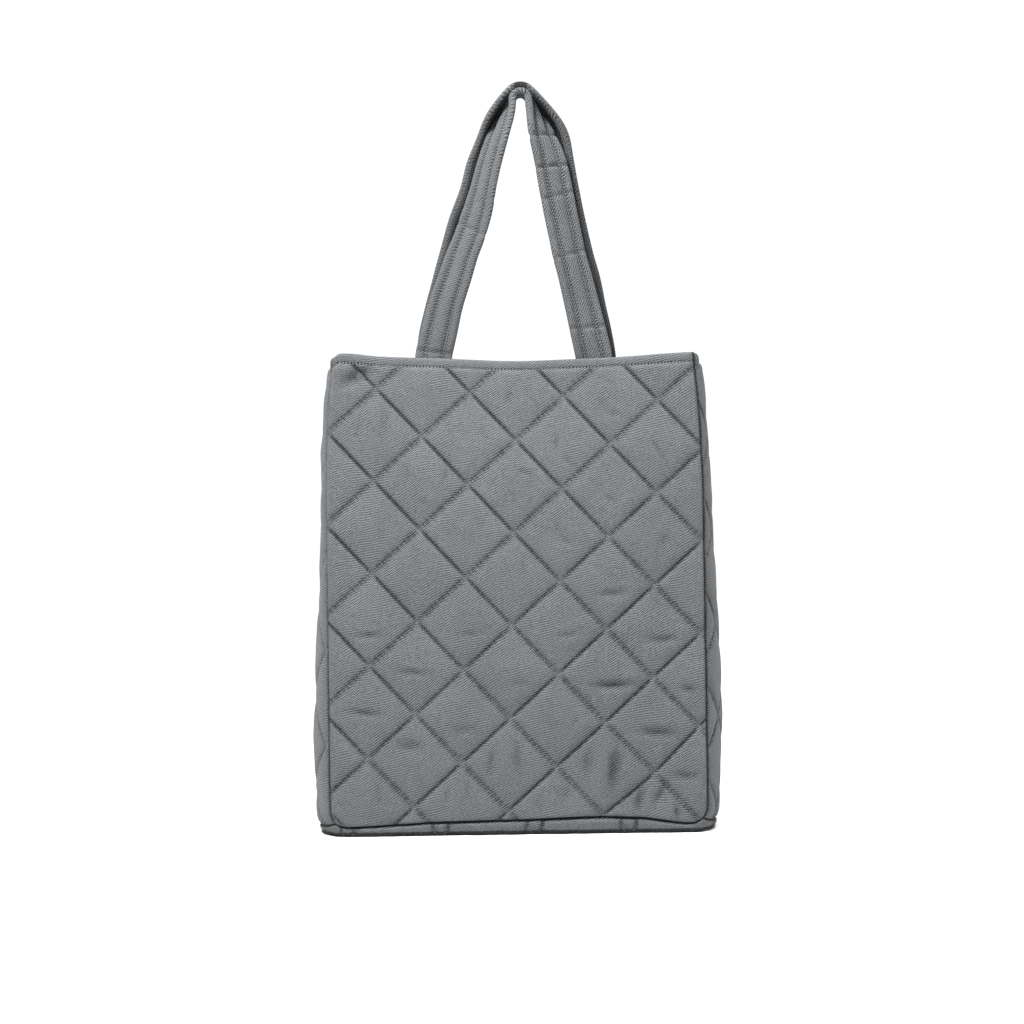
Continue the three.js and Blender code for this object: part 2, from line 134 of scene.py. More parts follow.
@dataclass(frozen=True)
class BagShape:
    """The surfaces that the bag's pieces are sewn on, in millimetres."""

    panel_width: float = 332
    body_height: float = 418
    base_depth: float = 110
    rim_lift: float = 9.5
    rim_dip: float = 10
    seam_lift: float = 13
    panel_belly: float = 5
    gusset_swell: float = 14
    corner_radius: float = 14
    corner_depth: float = 30
    base_roll: float = 14
    base_thickness: float = 5
    wall: float = 1.6

    @property
    def cloth_height(self) -> float:
        """Base seam to rim."""
        return self.body_height - self.seam_lift

    def rim_height(self, u: Array) -> Array:
        """Height of the rim at a share of the half width."""
        return self.body_height + self.rim_lift * EDGE_SECTIONS.read("rim", u)

    def seam_height(self, u: Array) -> Array:
        """Height of the base seam at a share of the half width."""
        return self.seam_lift * EDGE_SECTIONS.read("seam", u)

    def half_width(self, v: Array, inset: float) -> Array:
        """Mid-width to the side seam at a share of the height."""
        return BODY_SECTIONS.read("width", v) * self.panel_width / 2 - inset

    def half_depth(self, v: Array, inset: float) -> Array:
        """Mid-depth to a wide panel's edge at a share of the height."""
        return BODY_SECTIONS.read("depth", v) * self.base_depth / 2 - inset

    def rounded(self, x: Array, y: Array, z: Array, seam: Array) -> Array:
        """Rounds the wide panels' lower corners.

        Args:
            x, y, z: the points' places.
            seam: the height of the base seam at each point.

        Returns:
            The points, with the three numbers of each along the last axis.
        """
        radius = self.corner_radius
        behind = np.clip((self.half_depth(0.0, 0.0) - np.abs(y)) / self.corner_depth, 0, 1)
        fade = (1 - behind) ** 2
        s = np.clip(1 - (self.half_width(0.0, 0.0) - np.abs(x)) / radius, 0, 1)
        t = np.clip(1 - (z - seam) / radius, 0, 1)
        x = x - np.sign(x) * radius * fade * s * (1 - np.sqrt(1 - t * t / 2))
        z = z + radius * fade * t * (1 - np.sqrt(1 - s * s / 2))
        return np.stack([x, y + 0 * x, z], axis=-1)

    def panel(self, u: Array, v: Array, inset: float) -> Array:
        """Points of the front panel: u from -1 to 1 across it, v from 0 at the base seam to 1 at the rim."""
        bow = BODY_SECTIONS.read("bow", v)
        out = (1 - u * u) * bow * np.where(bow > 0, self.panel_belly, self.rim_dip)
        low = self.seam_height(u)
        z = low + inset + (self.rim_height(u) - low - inset) * v
        return self.rounded(u * self.half_width(v, inset), -self.half_depth(v, inset) - out, z, low)

    def gusset(self, swell: str, u: Array, v: Array, inset: float) -> Array:
        """Points of a gusset, drawn as the right one: u from -1 at its front seam to 1 at its back seam."""
        share = (u + 1) / 2
        ends = [self.seam_height(np.array(1.0)), self.seam_height(np.array(-1.0))]
        low = ends[0] + (ends[1] - ends[0]) * share
        tops = [self.rim_height(np.array(1.0)), self.rim_height(np.array(-1.0))]
        high = tops[0] + (tops[1] - tops[0]) * share
        out = (1 - u * u) * BODY_SECTIONS.read(swell, v) * self.gusset_swell
        z = low + inset + (high - low - inset) * v
        return self.rounded(self.half_width(v, inset) + out, u * self.half_depth(v, inset), z, low)

    def base(self, u: Array, v: Array, inset: float) -> Array:
        """Points of the base: u from -1 to 1 across it, v from 0 at the back seam to 1 at the front seam."""
        along = 1 - 2 * v
        swells = [BODY_SECTIONS.read(side, np.array(0.0)) for side in ("left", "right")]
        swell = np.where(u < 0, swells[0], swells[1]) * self.gusset_swell
        end = self.half_width(0.0, inset) + (1 - along * along) * swell
        x, y = u * end, along * self.half_depth(0.0, inset)
        edge = np.minimum(end - np.abs(x), self.half_depth(0.0, inset) - np.abs(y))
        near = np.clip(1 - edge / self.base_roll, 0, 1)
        roll = 1 - np.sqrt(1 - near * near)
        back, front = self.seam_height(-u), self.seam_height(u)
        lift = back + (front - back) * v
        z = self.base_thickness + (lift + inset - self.base_thickness) * roll if inset > 0 else lift * roll
        return self.rounded(x, y, z, lift)


# Rounds of the searches for the even pattern's point under a nudged one, and for the cloth's point under a
# place in its view.
NUDGE_ROUNDS = 16
VIEW_ROUNDS = 8

BAG = BagShape()

# How much higher the quilting seems to lie for each metre to the left, where firm lines change to loose ones.
SLANT = 2.1


def waves(x: Array, y: Array, shortest: float, longest: float, seed: int, count: int = 28) -> Array:
    """A smooth unevenness over a plane, about 1 at its highest.

    Args:
        x, y: the places, in millimetres.
        shortest, longest: the range of its wavelengths.
        seed: what sets its pattern.
        count: how many waves are summed.

    Returns:
        Its value at each place.
    """
    draw = np.random.default_rng(seed)
    lengths = draw.uniform(shortest, longest, count)
    angles, phases = draw.uniform(0, math.tau, count), draw.uniform(0, math.tau, count)
    total = np.zeros_like(x)
    for length, angle, phase in zip(lengths, angles, phases):
        total += np.cos(math.tau * (x * math.cos(angle) + y * math.sin(angle)) / length + phase)
    return total / math.sqrt(2 * count)


def rise(distance: Array, reach: float) -> Array:
    """How far cloth has risen from a line of stitching, from 0 on the line to 1 well away from it."""
    return 1 - np.exp(-np.maximum(distance, 0) / reach)


def bell(distance: Array, reach: float | Array) -> Array:
    """A smooth hump: 1 on a line, and nearly 0 at twice its reach."""
    return np.exp(-((distance / reach) ** 2))


def blend(ends: tuple[float, float], share: Array) -> Array:
    """A value between two ends."""
    return ends[0] + (ends[1] - ends[0]) * share


@dataclass(frozen=True)
class Quilting:
    """Lines of stitching that cross in diamonds.

    Lines fall to the right where p is whole and rise where q is. Each line is soft on one side and steep on
    the other. Reaches, in millimetres, and depths, as shares, are given for the cloth's foot and its top.
    """

    across: float
    up: float
    fall: float = 0.0
    lean: float = 0.0
    width: float = 82.9
    height: float = 81.4
    puff: float = 4.5
    level: float = 0.3
    falling_soft: tuple[float, float] = (3.4, 2.8)
    falling_steep: tuple[float, float] = (2.8, 1.0)
    rising_soft: tuple[float, float] = (2.8, 3.4)
    rising_steep: tuple[float, float] = (0.9, 2.8)
    falling_depth: tuple[float, float] = (0.4, 1.0)
    rising_depth: tuple[float, float] = (1.0, 0.55)
    deepening: float = 1.6
    crown: float = 0.45
    nudges: tuple[tuple[float, ...], ...] = ()

    @property
    def steps(self) -> tuple[float, float, float, float]:
        """Half a diamond across, its drop, half a diamond's lean and half a diamond up."""
        half_x, half_z = self.width / 2, self.height / 2
        return (
            half_x,
            -math.tan(math.radians(self.fall)) * half_x,
            math.tan(math.radians(self.lean)) * half_z,
            half_z,
        )

    @property
    def side(self) -> float:
        """Length of a diamond's side."""
        return math.hypot(self.width, self.height) / 2

    def place(self, p: Array, q: Array) -> tuple[Array, Array]:
        """Where a point of the lattice lies in the piece's view."""
        ax, az, bx, bz = self.steps
        i, j = p + q, p - q
        x = self.across * self.width + i * ax + j * bx
        z = self.up * self.height + i * az + j * bz
        off_x, off_z = self.nudged(x, z)
        return x + off_x, z + off_z

    def nudged(self, x: Array, z: Array) -> tuple[Array, Array]:
        """How far the sewing strayed from its even pattern at places of that pattern."""
        off_x, off_z = np.zeros_like(x), np.zeros_like(z)
        for at_x, at_z, by_x, by_z, reach in self.nudges:
            near = np.exp(-((x - at_x) ** 2 + (z - at_z) ** 2) / reach**2)
            off_x, off_z = off_x + by_x * near, off_z + by_z * near
        return off_x, off_z

    def lattice(self, x: Array, z: Array) -> tuple[Array, Array]:
        """The lattice's point at a place in the piece's view."""
        ax, az, bx, bz = self.steps
        even_x, even_z = x, z
        for _ in range(NUDGE_ROUNDS):
            off_x, off_z = self.nudged(even_x, even_z)
            even_x, even_z = x - off_x, z - off_z
        x, z = even_x - self.across * self.width, even_z - self.up * self.height
        whole = ax * bz - az * bx
        i, j = (x * bz - z * bx) / whole, (z * ax - x * az) / whole
        return (i + j) / 2, (i - j) / 2

    def puffed(self, p: Array, q: Array, up: Array) -> Array:
        """How far the cloth stands above its stitching.

        Args:
            p, q: the lattice's points.
            up: their shares of the piece's height.

        Returns:
            Shares of the full puff, from 0 on a line to 1 amid a diamond.
        """
        found = np.ones_like(p)
        falling = (p, self.falling_soft, self.falling_steep, self.falling_depth)
        rising = (q, self.rising_soft, self.rising_steep, self.rising_depth)
        for line, soft, steep, depth in (falling, rising):
            off = (line - np.round(line)) * self.side
            high = np.clip(up, 0, 1)
            reach = np.where(off < 0, blend(soft, high), blend(steep, high))
            deep = blend(depth, np.clip(self.deepening * up, 0, 1))
            found = found * (1 - deep * np.exp(-np.abs(off) / reach))
        crown = np.abs(np.sin(math.pi * p) * np.sin(math.pi * q)) ** 0.5
        return ((1 - self.crown) + self.crown * crown) * found


class View(Enum):
    """How a piece's cloth is seen straight on, where its quilting is laid out."""

    WIDE = "wide"
    NARROW = "narrow"
    FLAT = "flat"

    def place(self, x: Array, z: Array) -> tuple[Array, Array]:
        """Where a point of the cloth lies in the view."""
        if self is View.FLAT:
            return x, z
        if self is View.NARROW:
            return x, z + gusset_foot()
        u, v = 2 * x / BAG.panel_width, z / BAG.cloth_height
        low = BAG.seam_height(u)
        return u * BAG.half_width(v, 0), low + (BAG.rim_height(u) - low) * v

    def cloth(self, x: Array, z: Array) -> tuple[Array, Array]:
        """The point of the cloth at a place in the view."""
        if self is View.FLAT:
            return x, z
        if self is View.NARROW:
            return x, z - gusset_foot()
        u, v = np.zeros_like(x), np.zeros_like(x)
        past = 0.2
        for _ in range(VIEW_ROUNDS):
            u = np.clip(x / BAG.half_width(v, 0), -1 - past, 1 + past)
            low = BAG.seam_height(u)
            v = np.clip((z - low) / (BAG.rim_height(u) - low), -past, 1 + past)
        return u * BAG.panel_width / 2, v * BAG.cloth_height


def gusset_foot() -> float:
    """Height of a gusset's base seam."""
    return float(BAG.seam_height(np.array([-1.0, 1.0])).mean())


# Folds and dents of the front panel: each one's place in the front view, the way it runs in degrees, its
# length, its width and its depth.
FRONT_DENTS = (
    (-95, 319, 94, 23, 3.1, 1.4),
    (-61, 316, 79, 23, 3.1, 1.4),
    (-80, 294, 99, 11, 2.6, 0.9),
    (-114, 362, 91, 40, 4, 1.5),
    (-137, 358, 84, 26, 3.1, 0.8),
    (-27, 351, -56, 19, 3.1, 0.9),
    (37, 342, 94, 18, 2.6, 1.4),
    (47, 327, -36, 12, 2.6, 1.2),
    (78, 377, 109, 12, 2.6, 0.9),
    (88, 369, -21, 14, 2.6, 1.2),
    (126, 337, -59, 26, 2.6, 1.5),
    (9, 318, -26, 16, 2.6, 1.4),
    (14, 309, -71, 12, 2.6, 0.9),
    (75, 304, 99, 12, 2.6, 1.0),
    (84, 294, -31, 14, 2.6, 1.4),
    (36, 268, -76, 12, 2.6, 1.0),
    (44, 258, -36, 16, 2.6, 1.4),
    (-117, 273, 84, 35, 4, 0.9),
    (-88, 245, 99, 21, 3.5, 0.8),
    (7, 233, 99, 26, 4, 0.8),
    (130, 256, 59, 19, 5.3, 1.2),
    (-3, 385, 74, 19, 3.1, 1.2),
    (13, 389, 94, 14, 2.6, 0.8),
    (85, 211, 5, 26, 3.5, 2.2),
    (-129, 177, -1, 23, 3.1, 2.2),
    (-41, 177, -1, 23, 3.5, 1.4),
    (44, 175, 7, 23, 3.5, 1.4),
    (129, 170, 3, 26, 3.5, 2.6),
    (-91, 144, -5, 28, 3.1, 2.0),
    (84, 131, 1, 37, 3.8, 4.2),
    (2, 133, 4, 21, 4, 1.0),
    (-135, 109, -7, 30, 3.1, 2.4),
    (-48, 93, 3, 25, 4.4, 1.6),
    (122, 89, -5, 35, 4.2, 3.3),
    (151, 126, -1, 14, 3.5, 2.3),
    (50, 98, 69, 16, 2.6, 1.0),
    (27, 98, -61, 18, 3.1, 0.8),
    (-95, 79, -5, 26, 5.3, 2.4),
    (-24, 64, 81, 30, 3, 2.0),
    (-1, 68, 95, 35, 3.6, 2.4),
    (61, 62, 84, 28, 4, 2.2),
    (84, 56, 83, 42, 5.2, 5.2),
    (-125, 37, 94, 28, 3.1, 1.4),
    (-64, 34, 79, 23, 3.1, 1.2),
    (-46, 38, 83, 25, 3.1, 1.0),
    (18, 29, 79, 21, 3.1, 1.0),
    (41, 33, 81, 23, 3.1, 1.2),
    (106, 29, 80, 25, 3.6, 3.6),
    (124, 33, 64, 22, 3.6, 3.2),
    (139, 17, 96, 15, 2.8, 3.0),
    (147, 50, -6, 24, 3.8, 2.4),
    (-138, 405, 28, 34, 6, 4.4),
)


# How far a dent reaches along its run, as a share of its length.
DENT_REACH = 0.42


def dented(x: Array, z: Array, dents: Sequence[tuple[float, ...]]) -> Array:
    """How deep dents are at places of a piece's view.

    Args:
        x, z: the places.
        dents: rows of place, way, length, width and depth.

    Returns:
        Depths in millimetres.
    """
    deep = np.zeros_like(x)
    for at_x, at_z, turn, length, width, depth in dents:
        way = math.radians(turn)
        along = (x - at_x) * math.cos(way) + (z - at_z) * math.sin(way)
        across = (z - at_z) * math.cos(way) - (x - at_x) * math.sin(way)
        deep += depth * np.exp(-((along / (DENT_REACH * length)) ** 2) - (across / width) ** 2)
    return deep


@dataclass
class Patch:
    """One face of a piece of cloth: its places while flat, in millimetres, its faces and shaped points."""

    flat: Array
    faces: list[tuple[int, ...]]
    quilt: Array
    points: Array = field(default_factory=lambda: np.zeros((0, 3)))


@dataclass
class QuiltedPiece:
    """A quilted piece of the bag, closed all round: an outer face, an inner face and the edge between them.

    Sizes are in millimetres. Values for the seams are given for the left, the right and the base seam. Up the
    side seam whose painted shade fades, that painted shade starts at the first number, falls by the second
    and ends at the third.
    """

    name: str
    quilting: Quilting
    surface: Surface
    view: View
    width: float
    height: float
    hemmed: bool = True
    turned: bool = False
    hem_height: float = 8.0
    hem_level: float = 2.0
    hem_dip: float = 0.5
    hem_groove: float = 1.2
    hem_slope: float = 5.0
    rim_rounding: float = 0.9
    rim_share: float = 0.45
    turning: float = 2.2
    dents: tuple[tuple[float, ...], ...] = ()
    seam_reach: float = 0.5
    seam_sinks: tuple[float, float, float] = (0.5, 0.5, 0.8)
    sink_reaches: tuple[float, float] = (0.6, 0.7)
    # Painted shade along the seams and in the folds, and how it fades up one side seam.
    painted_seam_shades: tuple[float, float, float] = (0.7, 0.7, 0.8)
    painted_shade_reaches: tuple[float, float] = (0.85, 0.5)
    full_fold: float = 5.0
    fading: int = 0
    painted_seam_fade: tuple[float, float, float] = (1.2, 1.6, 0.15)
    seam_gap: float = 0.15
    close_cuts: tuple[float, ...] = ()
    fine: int = 40
    coarse: int = 9
    lining_puff: float = 0.8
    lining_turning: float = 6.0
    lining_margin: float = 22.0
    lining_fade: float = 8.0
    unevenness: float = 0.35
    uneven_lengths: tuple[float, float] = (14, 60)
    stitch_pitch: float = 3.0
    stitch_lift: float = 0.05
    seed: int = SEED

    @property
    def hem_line(self) -> float:
        """How high up the cloth its quilting ends."""
        return self.height - self.hem_height if self.hemmed else self.height

    def cuts(self, close: Sequence[float], hem: Sequence[float]) -> tuple[list[float], list[float]]:
        """Lines that the cloth's faces are split on, near its seams and along its hem.

        Args:
            close: how far in from a seam they lie.
            hem: how far down from the rim they lie.

        Returns:
            The lines' places across the cloth and up it.
        """
        close = self.close_cuts or close
        columns = [side * (self.width / 2 - far) for far in close for side in (-1, 1)]
        rows = list(close)
        rows += [self.height - far for far in (hem if self.hemmed else close)]
        return columns, rows

    def patch(self, divisions: int, columns: Sequence[float], rows: Sequence[float]) -> Patch:
        """One flat face of the cloth, whose edges follow the quilting.

        Args:
            divisions: faces along a diamond's side.
            columns, rows: lines on which faces are split.

        Returns:
            The patch, trimmed to the cloth's outline.
        """
        half, gap = self.width / 2, self.seam_gap / 2
        top = self.height
        corners_x, corners_z = self.view.place(
            np.array([-half, half, -half, half, 0, 0]), np.array([0, 0, top, top, 0, top])
        )
        p, q = self.quilting.lattice(corners_x, corners_z)
        margin = 2 / divisions
        low = np.floor((np.array([p.min(), q.min()]) - margin) * divisions).astype(int)
        high = np.ceil((np.array([p.max(), q.max()]) + margin) * divisions).astype(int)
        a, b = np.meshgrid(np.arange(low[0], high[0] + 1), np.arange(low[1], high[1] + 1), indexing="ij")
        x, z = self.view.cloth(*self.quilting.place(a / divisions, b / divisions))
        step = self.quilting.side / divisions
        inside = (np.abs(x) < half + step) & (z > -step) & (z < self.height + step)
        keep = inside[:-1, :-1] & inside[1:, :-1] & inside[1:, 1:] & inside[:-1, 1:]
        index = np.arange(a.size).reshape(a.shape)
        corners = (index[:-1, :-1], index[1:, :-1], index[1:, 1:], index[:-1, 1:])
        quads = np.stack([corner[keep] for corner in corners], axis=1)
        used, compact = np.unique(quads, return_inverse=True)
        flat = np.stack([x.ravel()[used], z.ravel()[used], np.zeros(len(used))], axis=1)
        mesh = bpy.data.meshes.new("cutting")
        mesh.from_pydata(flat.tolist(), [], compact.reshape(-1, 4).tolist())
        cloth = bmesh.new()
        cloth.from_mesh(mesh)
        bpy.data.meshes.remove(mesh)
        top = self.height if self.hemmed else self.height - gap
        lines = [((half - gap, 0), (1, 0), True), ((gap - half, 0), (-1, 0), True)]
        lines += [((0, gap), (0, -1), True), ((0, top), (0, 1), True)]
        lines += [((x, 0), (1, 0), False) for x in columns] + [((0, z), (0, 1), False) for z in rows]
        for place, facing, trim in lines:
            bmesh.ops.bisect_plane(
                cloth,
                geom=cloth.verts[:] + cloth.edges[:] + cloth.faces[:],
                dist=0.04,
                plane_co=(*place, 0),
                plane_no=(*facing, 0),
                clear_outer=trim,
            )
        cloth.verts.index_update()
        flat = np.array([vert.co[:2] for vert in cloth.verts])
        faces = [tuple(vert.index for vert in face.verts) for face in cloth.faces]
        cloth.free()
        flat[:, 0] = np.clip(flat[:, 0], gap - half, half - gap)
        flat[:, 1] = np.clip(flat[:, 1], gap, top)
        quilt = np.stack(self.quilting.lattice(*self.view.place(flat[:, 0], flat[:, 1])), axis=1)
        return Patch(flat, faces, quilt)

    def shares(self, flat: Array) -> tuple[Array, Array]:
        """A flat place as shares of the half width and the height."""
        return 2 * flat[:, 0] / self.width, flat[:, 1] / self.height

    def facing(self, flat: Array, inset: float = 0.0) -> tuple[Array, Array]:
        """The stitched surface at flat places.

        Args:
            flat: places on the cloth.
            inset: how far inside the outer face the surface lies.

        Returns:
            Its points and its outward directions.
        """
        u, v = self.shares(flat)
        step = 0.004
        along_u = self.surface(u + step, v, inset) - self.surface(u - step, v, inset)
        above, below = np.minimum(v + step, 1), np.maximum(v - step, 0)
        along_v = self.surface(u, above, inset) - self.surface(u, below, inset)
        out = np.cross(along_u, along_v)
        out /= np.linalg.norm(out, axis=1, keepdims=True)
        return self.surface(u, v, inset), out

    def outward(self, flat: Array, quilt: Array) -> Array:
        """How far the outer face stands off its stitched surface at flat places."""
        level = self.quilting.level
        side = self.width / 2 - np.abs(flat[:, 0])
        foot = flat[:, 1]
        up = foot / self.height - SLANT * MM * flat[:, 0]
        puff = self.quilting.puffed(quilt[:, 0], quilt[:, 1], up)
        puff = puff * rise(side, self.turning) * rise(foot, self.turning)
        soft = waves(flat[:, 0], flat[:, 1], *self.uneven_lengths, self.seed)
        out = level + puff * (self.quilting.puff - level + self.unevenness * soft)
        out -= dented(*self.view.place(flat[:, 0], flat[:, 1]), self.dents)
        if self.hemmed:
            from_hem = self.hem_line - flat[:, 1]
            near = np.clip(1 - from_hem / self.hem_slope, 0, 1) ** 2
            out = out * (1 - near) + self.hem_level * near
            out -= self.hem_dip * bell(from_hem, self.hem_groove)
            from_rim = self.height - flat[:, 1]
            out -= (self.hem_level + self.rim_share * BAG.wall) * np.exp(-from_rim / self.rim_rounding)
        closing = rise(side, self.seam_reach) * rise(foot, self.seam_reach)
        left, right, under = self.seam_sinks
        beside, above = self.sink_reaches
        sink = np.where(flat[:, 0] < 0, left, right) * bell(side, beside)
        return out * closing - np.maximum(sink, under * bell(foot, above))

    def inward(self, flat: Array, quilt: Array) -> Array:
        """How far the inner face stands off the lining's level at flat places."""
        side = self.width / 2 - np.abs(flat[:, 0])
        ends = rise(side, self.lining_turning) * rise(flat[:, 1], self.lining_turning)
        ends = ends * rise(self.hem_line - self.lining_margin - flat[:, 1], self.lining_fade)
        puff = self.quilting.puffed(quilt[:, 0], quilt[:, 1], flat[:, 1] / self.height)
        return self.lining_puff * ends * puff

    def shaped(self) -> tuple[Patch, Patch]:
        """The piece's outer and inner faces, in space."""
        hem_cuts = (0.4, 1.1, 2.6, 5.2, 6.8, 8, 9.2)
        outer = self.patch(self.fine, *self.cuts((0.4, 1.0, 2.2), hem_cuts))
        base, out = self.facing(outer.flat)
        outer.points = base + out * self.outward(outer.flat, outer.quilt)[:, None]
        inner = self.patch(self.coarse, *self.cuts((3.0,), (3.0, 8.0)))
        base, out = self.facing(inner.flat, BAG.wall)
        inner.points = base - out * self.inward(inner.flat, inner.quilt)[:, None]
        if self.turned:
            for patch in (outer, inner):
                patch.points = patch.points * (-1, -1, 1)
        return outer, inner

    def seam_faces(self, outer: Patch, inner: Patch) -> list[tuple[int, ...]]:
        """Faces that close the piece between the borders of its two faces."""
        faces: list[tuple[int, ...]] = []
        start = len(outer.flat)
        for axis, pick in ((1, np.min), (1, np.max), (0, np.min), (0, np.max)):
            rows = []
            for patch in (outer, inner):
                edge = np.flatnonzero(np.abs(patch.flat[:, axis] - pick(patch.flat[:, axis])) < 1e-4)
                rows.append(edge[np.argsort(patch.flat[edge, 1 - axis])])
            far, near = rows
            i = k = 0
            keys = outer.flat[far, 1 - axis], inner.flat[near, 1 - axis]
            while i + 1 < len(far) or k + 1 < len(near):
                step_far = k + 1 >= len(near) or (i + 1 < len(far) and keys[0][i + 1] <= keys[1][k + 1])
                if step_far:
                    faces.append((far[i], far[i + 1], start + near[k]))
                    i += 1
                else:
                    faces.append((far[i], start + near[k + 1], start + near[k]))
                    k += 1
        return faces

    def build(self, finish: "Finish") -> bpy.types.Object:
        """Builds and dresses the piece, in place of its solid."""
        outer, inner = self.shaped()
        start = len(outer.flat)
        faces = outer.faces + [tuple(start + n for n in face) for face in inner.faces]
        faces += self.seam_faces(outer, inner)
        flat = np.concatenate([self.woven(outer), self.woven(inner)]) * MM
        quilt = np.concatenate([outer.quilt, inner.quilt])
        # The "shade" map carries painted shade along the seams and in the folds.
        shade = np.concatenate([self.painted_shade(outer.flat), 0 * inner.flat])
        maps = {"cloth": flat, "quilt": quilt, "shade": shade}
        body = mesh_object(self.name, np.concatenate([outer.points, inner.points]), faces, maps)
        return dressed(body, finish, self.name)

    def woven(self, patch: Patch) -> Array:
        """Where each point of a patch lies in the weave, measured on down into its seams."""
        x, z = patch.flat[:, 0], patch.flat[:, 1]
        level, reach = 4, 3
        deep = level - self.outward(patch.flat, patch.quilt)
        across = x + np.sign(x) * deep * bell(self.width / 2 - np.abs(x), reach)
        return np.stack([across, z - deep * bell(z, reach)], axis=1)

    def painted_shade(self, flat: Array) -> Array:
        """Painted shade along the seams and in the folds, as two shares."""
        side, foot = self.width / 2 - np.abs(flat[:, 0]), flat[:, 1]
        left, right, under = self.painted_seam_shades
        beside, above = self.painted_shade_reaches
        sides = np.where(flat[:, 0] < 0, left, right)
        start, slope, least = self.painted_seam_fade
        faded = np.clip(start - slope * foot / self.height, least, 1)
        sides = sides * np.where(flat[:, 0] * self.fading > 0, faded, 1)
        seam = np.maximum(sides * bell(side, beside), under * bell(foot, above))
        folds = dented(*self.view.place(flat[:, 0], flat[:, 1]), self.dents) / self.full_fold
        return np.stack([seam, folds], axis=1)

    def quilting_paths(self) -> list[Array]:
        """The quilting's lines over the cloth as flat places a millimetre or so apart."""
        half, clear, most = self.width / 2, 1.5, 12
        step = 1.2 / self.quilting.side
        reach = np.arange(-most, most, step)
        paths = []
        for whole in range(-most, most + 1):
            for lines in ((np.full_like(reach, whole), reach), (reach, np.full_like(reach, whole))):
                x, z = self.view.cloth(*self.quilting.place(*lines))
                inside = (np.abs(x) < half - clear) & (z > clear) & (z < self.hem_line - clear / 2)
                if inside.sum() > 3:
                    paths.append(np.stack([x[inside], z[inside]], axis=1))
        return paths

    def hem_path(self) -> Array:
        """The hem's line of stitching as flat places."""
        last = self.width / 2 - 2
        first = self.stitch_pitch * math.floor(last / self.stitch_pitch)
        x = np.arange(-first, last, self.stitch_pitch / 2)
        return np.stack([x, np.full_like(x, self.hem_line)], axis=1)

    def stitches(self) -> list[tuple[Array, Array]]:
        """Paths of the piece's stitching in space, each with the cloth's outward directions."""
        flats = self.quilting_paths() + ([self.hem_path()] if self.hemmed else [])
        found = []
        for flat in flats:
            quilt = np.stack(self.quilting.lattice(*self.view.place(flat[:, 0], flat[:, 1])), axis=1)
            base, out = self.facing(flat)
            points = base + out * (self.outward(flat, quilt) + self.stitch_lift)[:, None]
            turn = (-1, -1, 1) if self.turned else (1, 1, 1)
            found.append((points * turn, out * turn))
        return found


@dataclass
class Base(QuiltedPiece):
    """The bag's floor: flat where it stands, with a border that rolls up to its seam."""

    groove: float = 1.4
    border_puff: float = 4.8
    undercut: float = 2.6
    undercut_reach: float = 3.5
    wrinkle: float = 0.22
    end_length: float = 24.0
    seam_sink: float = 1.2
    sink_reach: float = 0.6
    seam_gap: float = 0.02
    close_cuts: tuple[float, ...] = (0.08, 0.2, 0.45, 1.0, 2.2)

    def below(self, flat: Array) -> tuple[Array, Array]:
        """How far places lie in from the base's edge, and how far down the rolled border from its seam."""
        x, y = flat[:, 0], flat[:, 1]
        edge = np.minimum(self.width / 2 - np.abs(x), np.minimum(y, self.height - y))
        near = np.clip(1 - edge / BAG.base_roll, 0, 1)
        first = 1 - self.seam_gap / 2 / BAG.base_roll
        return edge, BAG.seam_lift * (np.sqrt(1 - near * near) - math.sqrt(1 - first * first))

    def outward(self, flat: Array, quilt: Array) -> Array:
        """How far the underside stands off its surface: its grooves rise, and only its border swells."""
        edge, down = self.below(flat)
        puff = self.quilting.puffed(quilt[:, 0], quilt[:, 1], flat[:, 1] / self.height)
        border = np.clip(1 - edge / BAG.base_roll, 0, 1)
        swell = np.clip(border * 2.2, 0, 1) ** 1.5 * self.border_puff
        soft = 1 + self.wrinkle * waves(flat[:, 0], flat[:, 1], 9, 40, self.seed)
        under = self.undercut * bell(edge - 0.8 * BAG.base_roll, self.undercut_reach)
        ends = 0.4 + 0.6 * np.clip((self.width / 2 - np.abs(flat[:, 0])) / self.end_length, 0, 1)
        out = (0.8 + 0.2 * puff) * swell * soft * ends - self.groove * (1 - puff) * (1 - border) - under
        return out * rise(down, 0.7) - self.seam_sink * bell(down, self.sink_reach)

    def shaped(self) -> tuple[Patch, Patch]:
        """The base's outer and inner faces, in space, with nothing under the floor."""
        outer, inner = super().shaped()
        outer.points[:, 2] = np.maximum(outer.points[:, 2], 0)
        return outer, inner

    def painted_shade(self, flat: Array) -> Array:
        """Painted shade along the base's seam, as two shares."""
        edge, down = self.below(flat)
        return np.stack([0.9 * bell(down, self.sink_reach), 0 * edge], axis=1)

    def stitches(self) -> list[tuple[Array, Array]]:
        """Paths of the base's stitching, above the floor."""
        lowest = (-math.inf, -math.inf, 0.3)
        return [(np.maximum(points, lowest), out) for points, out in super().stitches()]

    def inward(self, flat: Array, quilt: Array) -> Array:
        """The floor's inner face is level."""
        return np.zeros(len(flat))

    def woven(self, patch: Patch) -> Array:
        """Where each point lies in the weave, measured on up the rolled border."""
        rolled = patch.points[:, 2]
        x, y = patch.flat[:, 0], patch.flat[:, 1]
        middle = self.height / 2
        ends = np.abs(x) - self.width / 2 > np.abs(y - middle) - middle
        across = x + np.where(ends, np.sign(x) * rolled, 0)
        along = y + np.where(ends, 0, np.sign(y - middle) * rolled)
        return np.stack([across, along], axis=1)


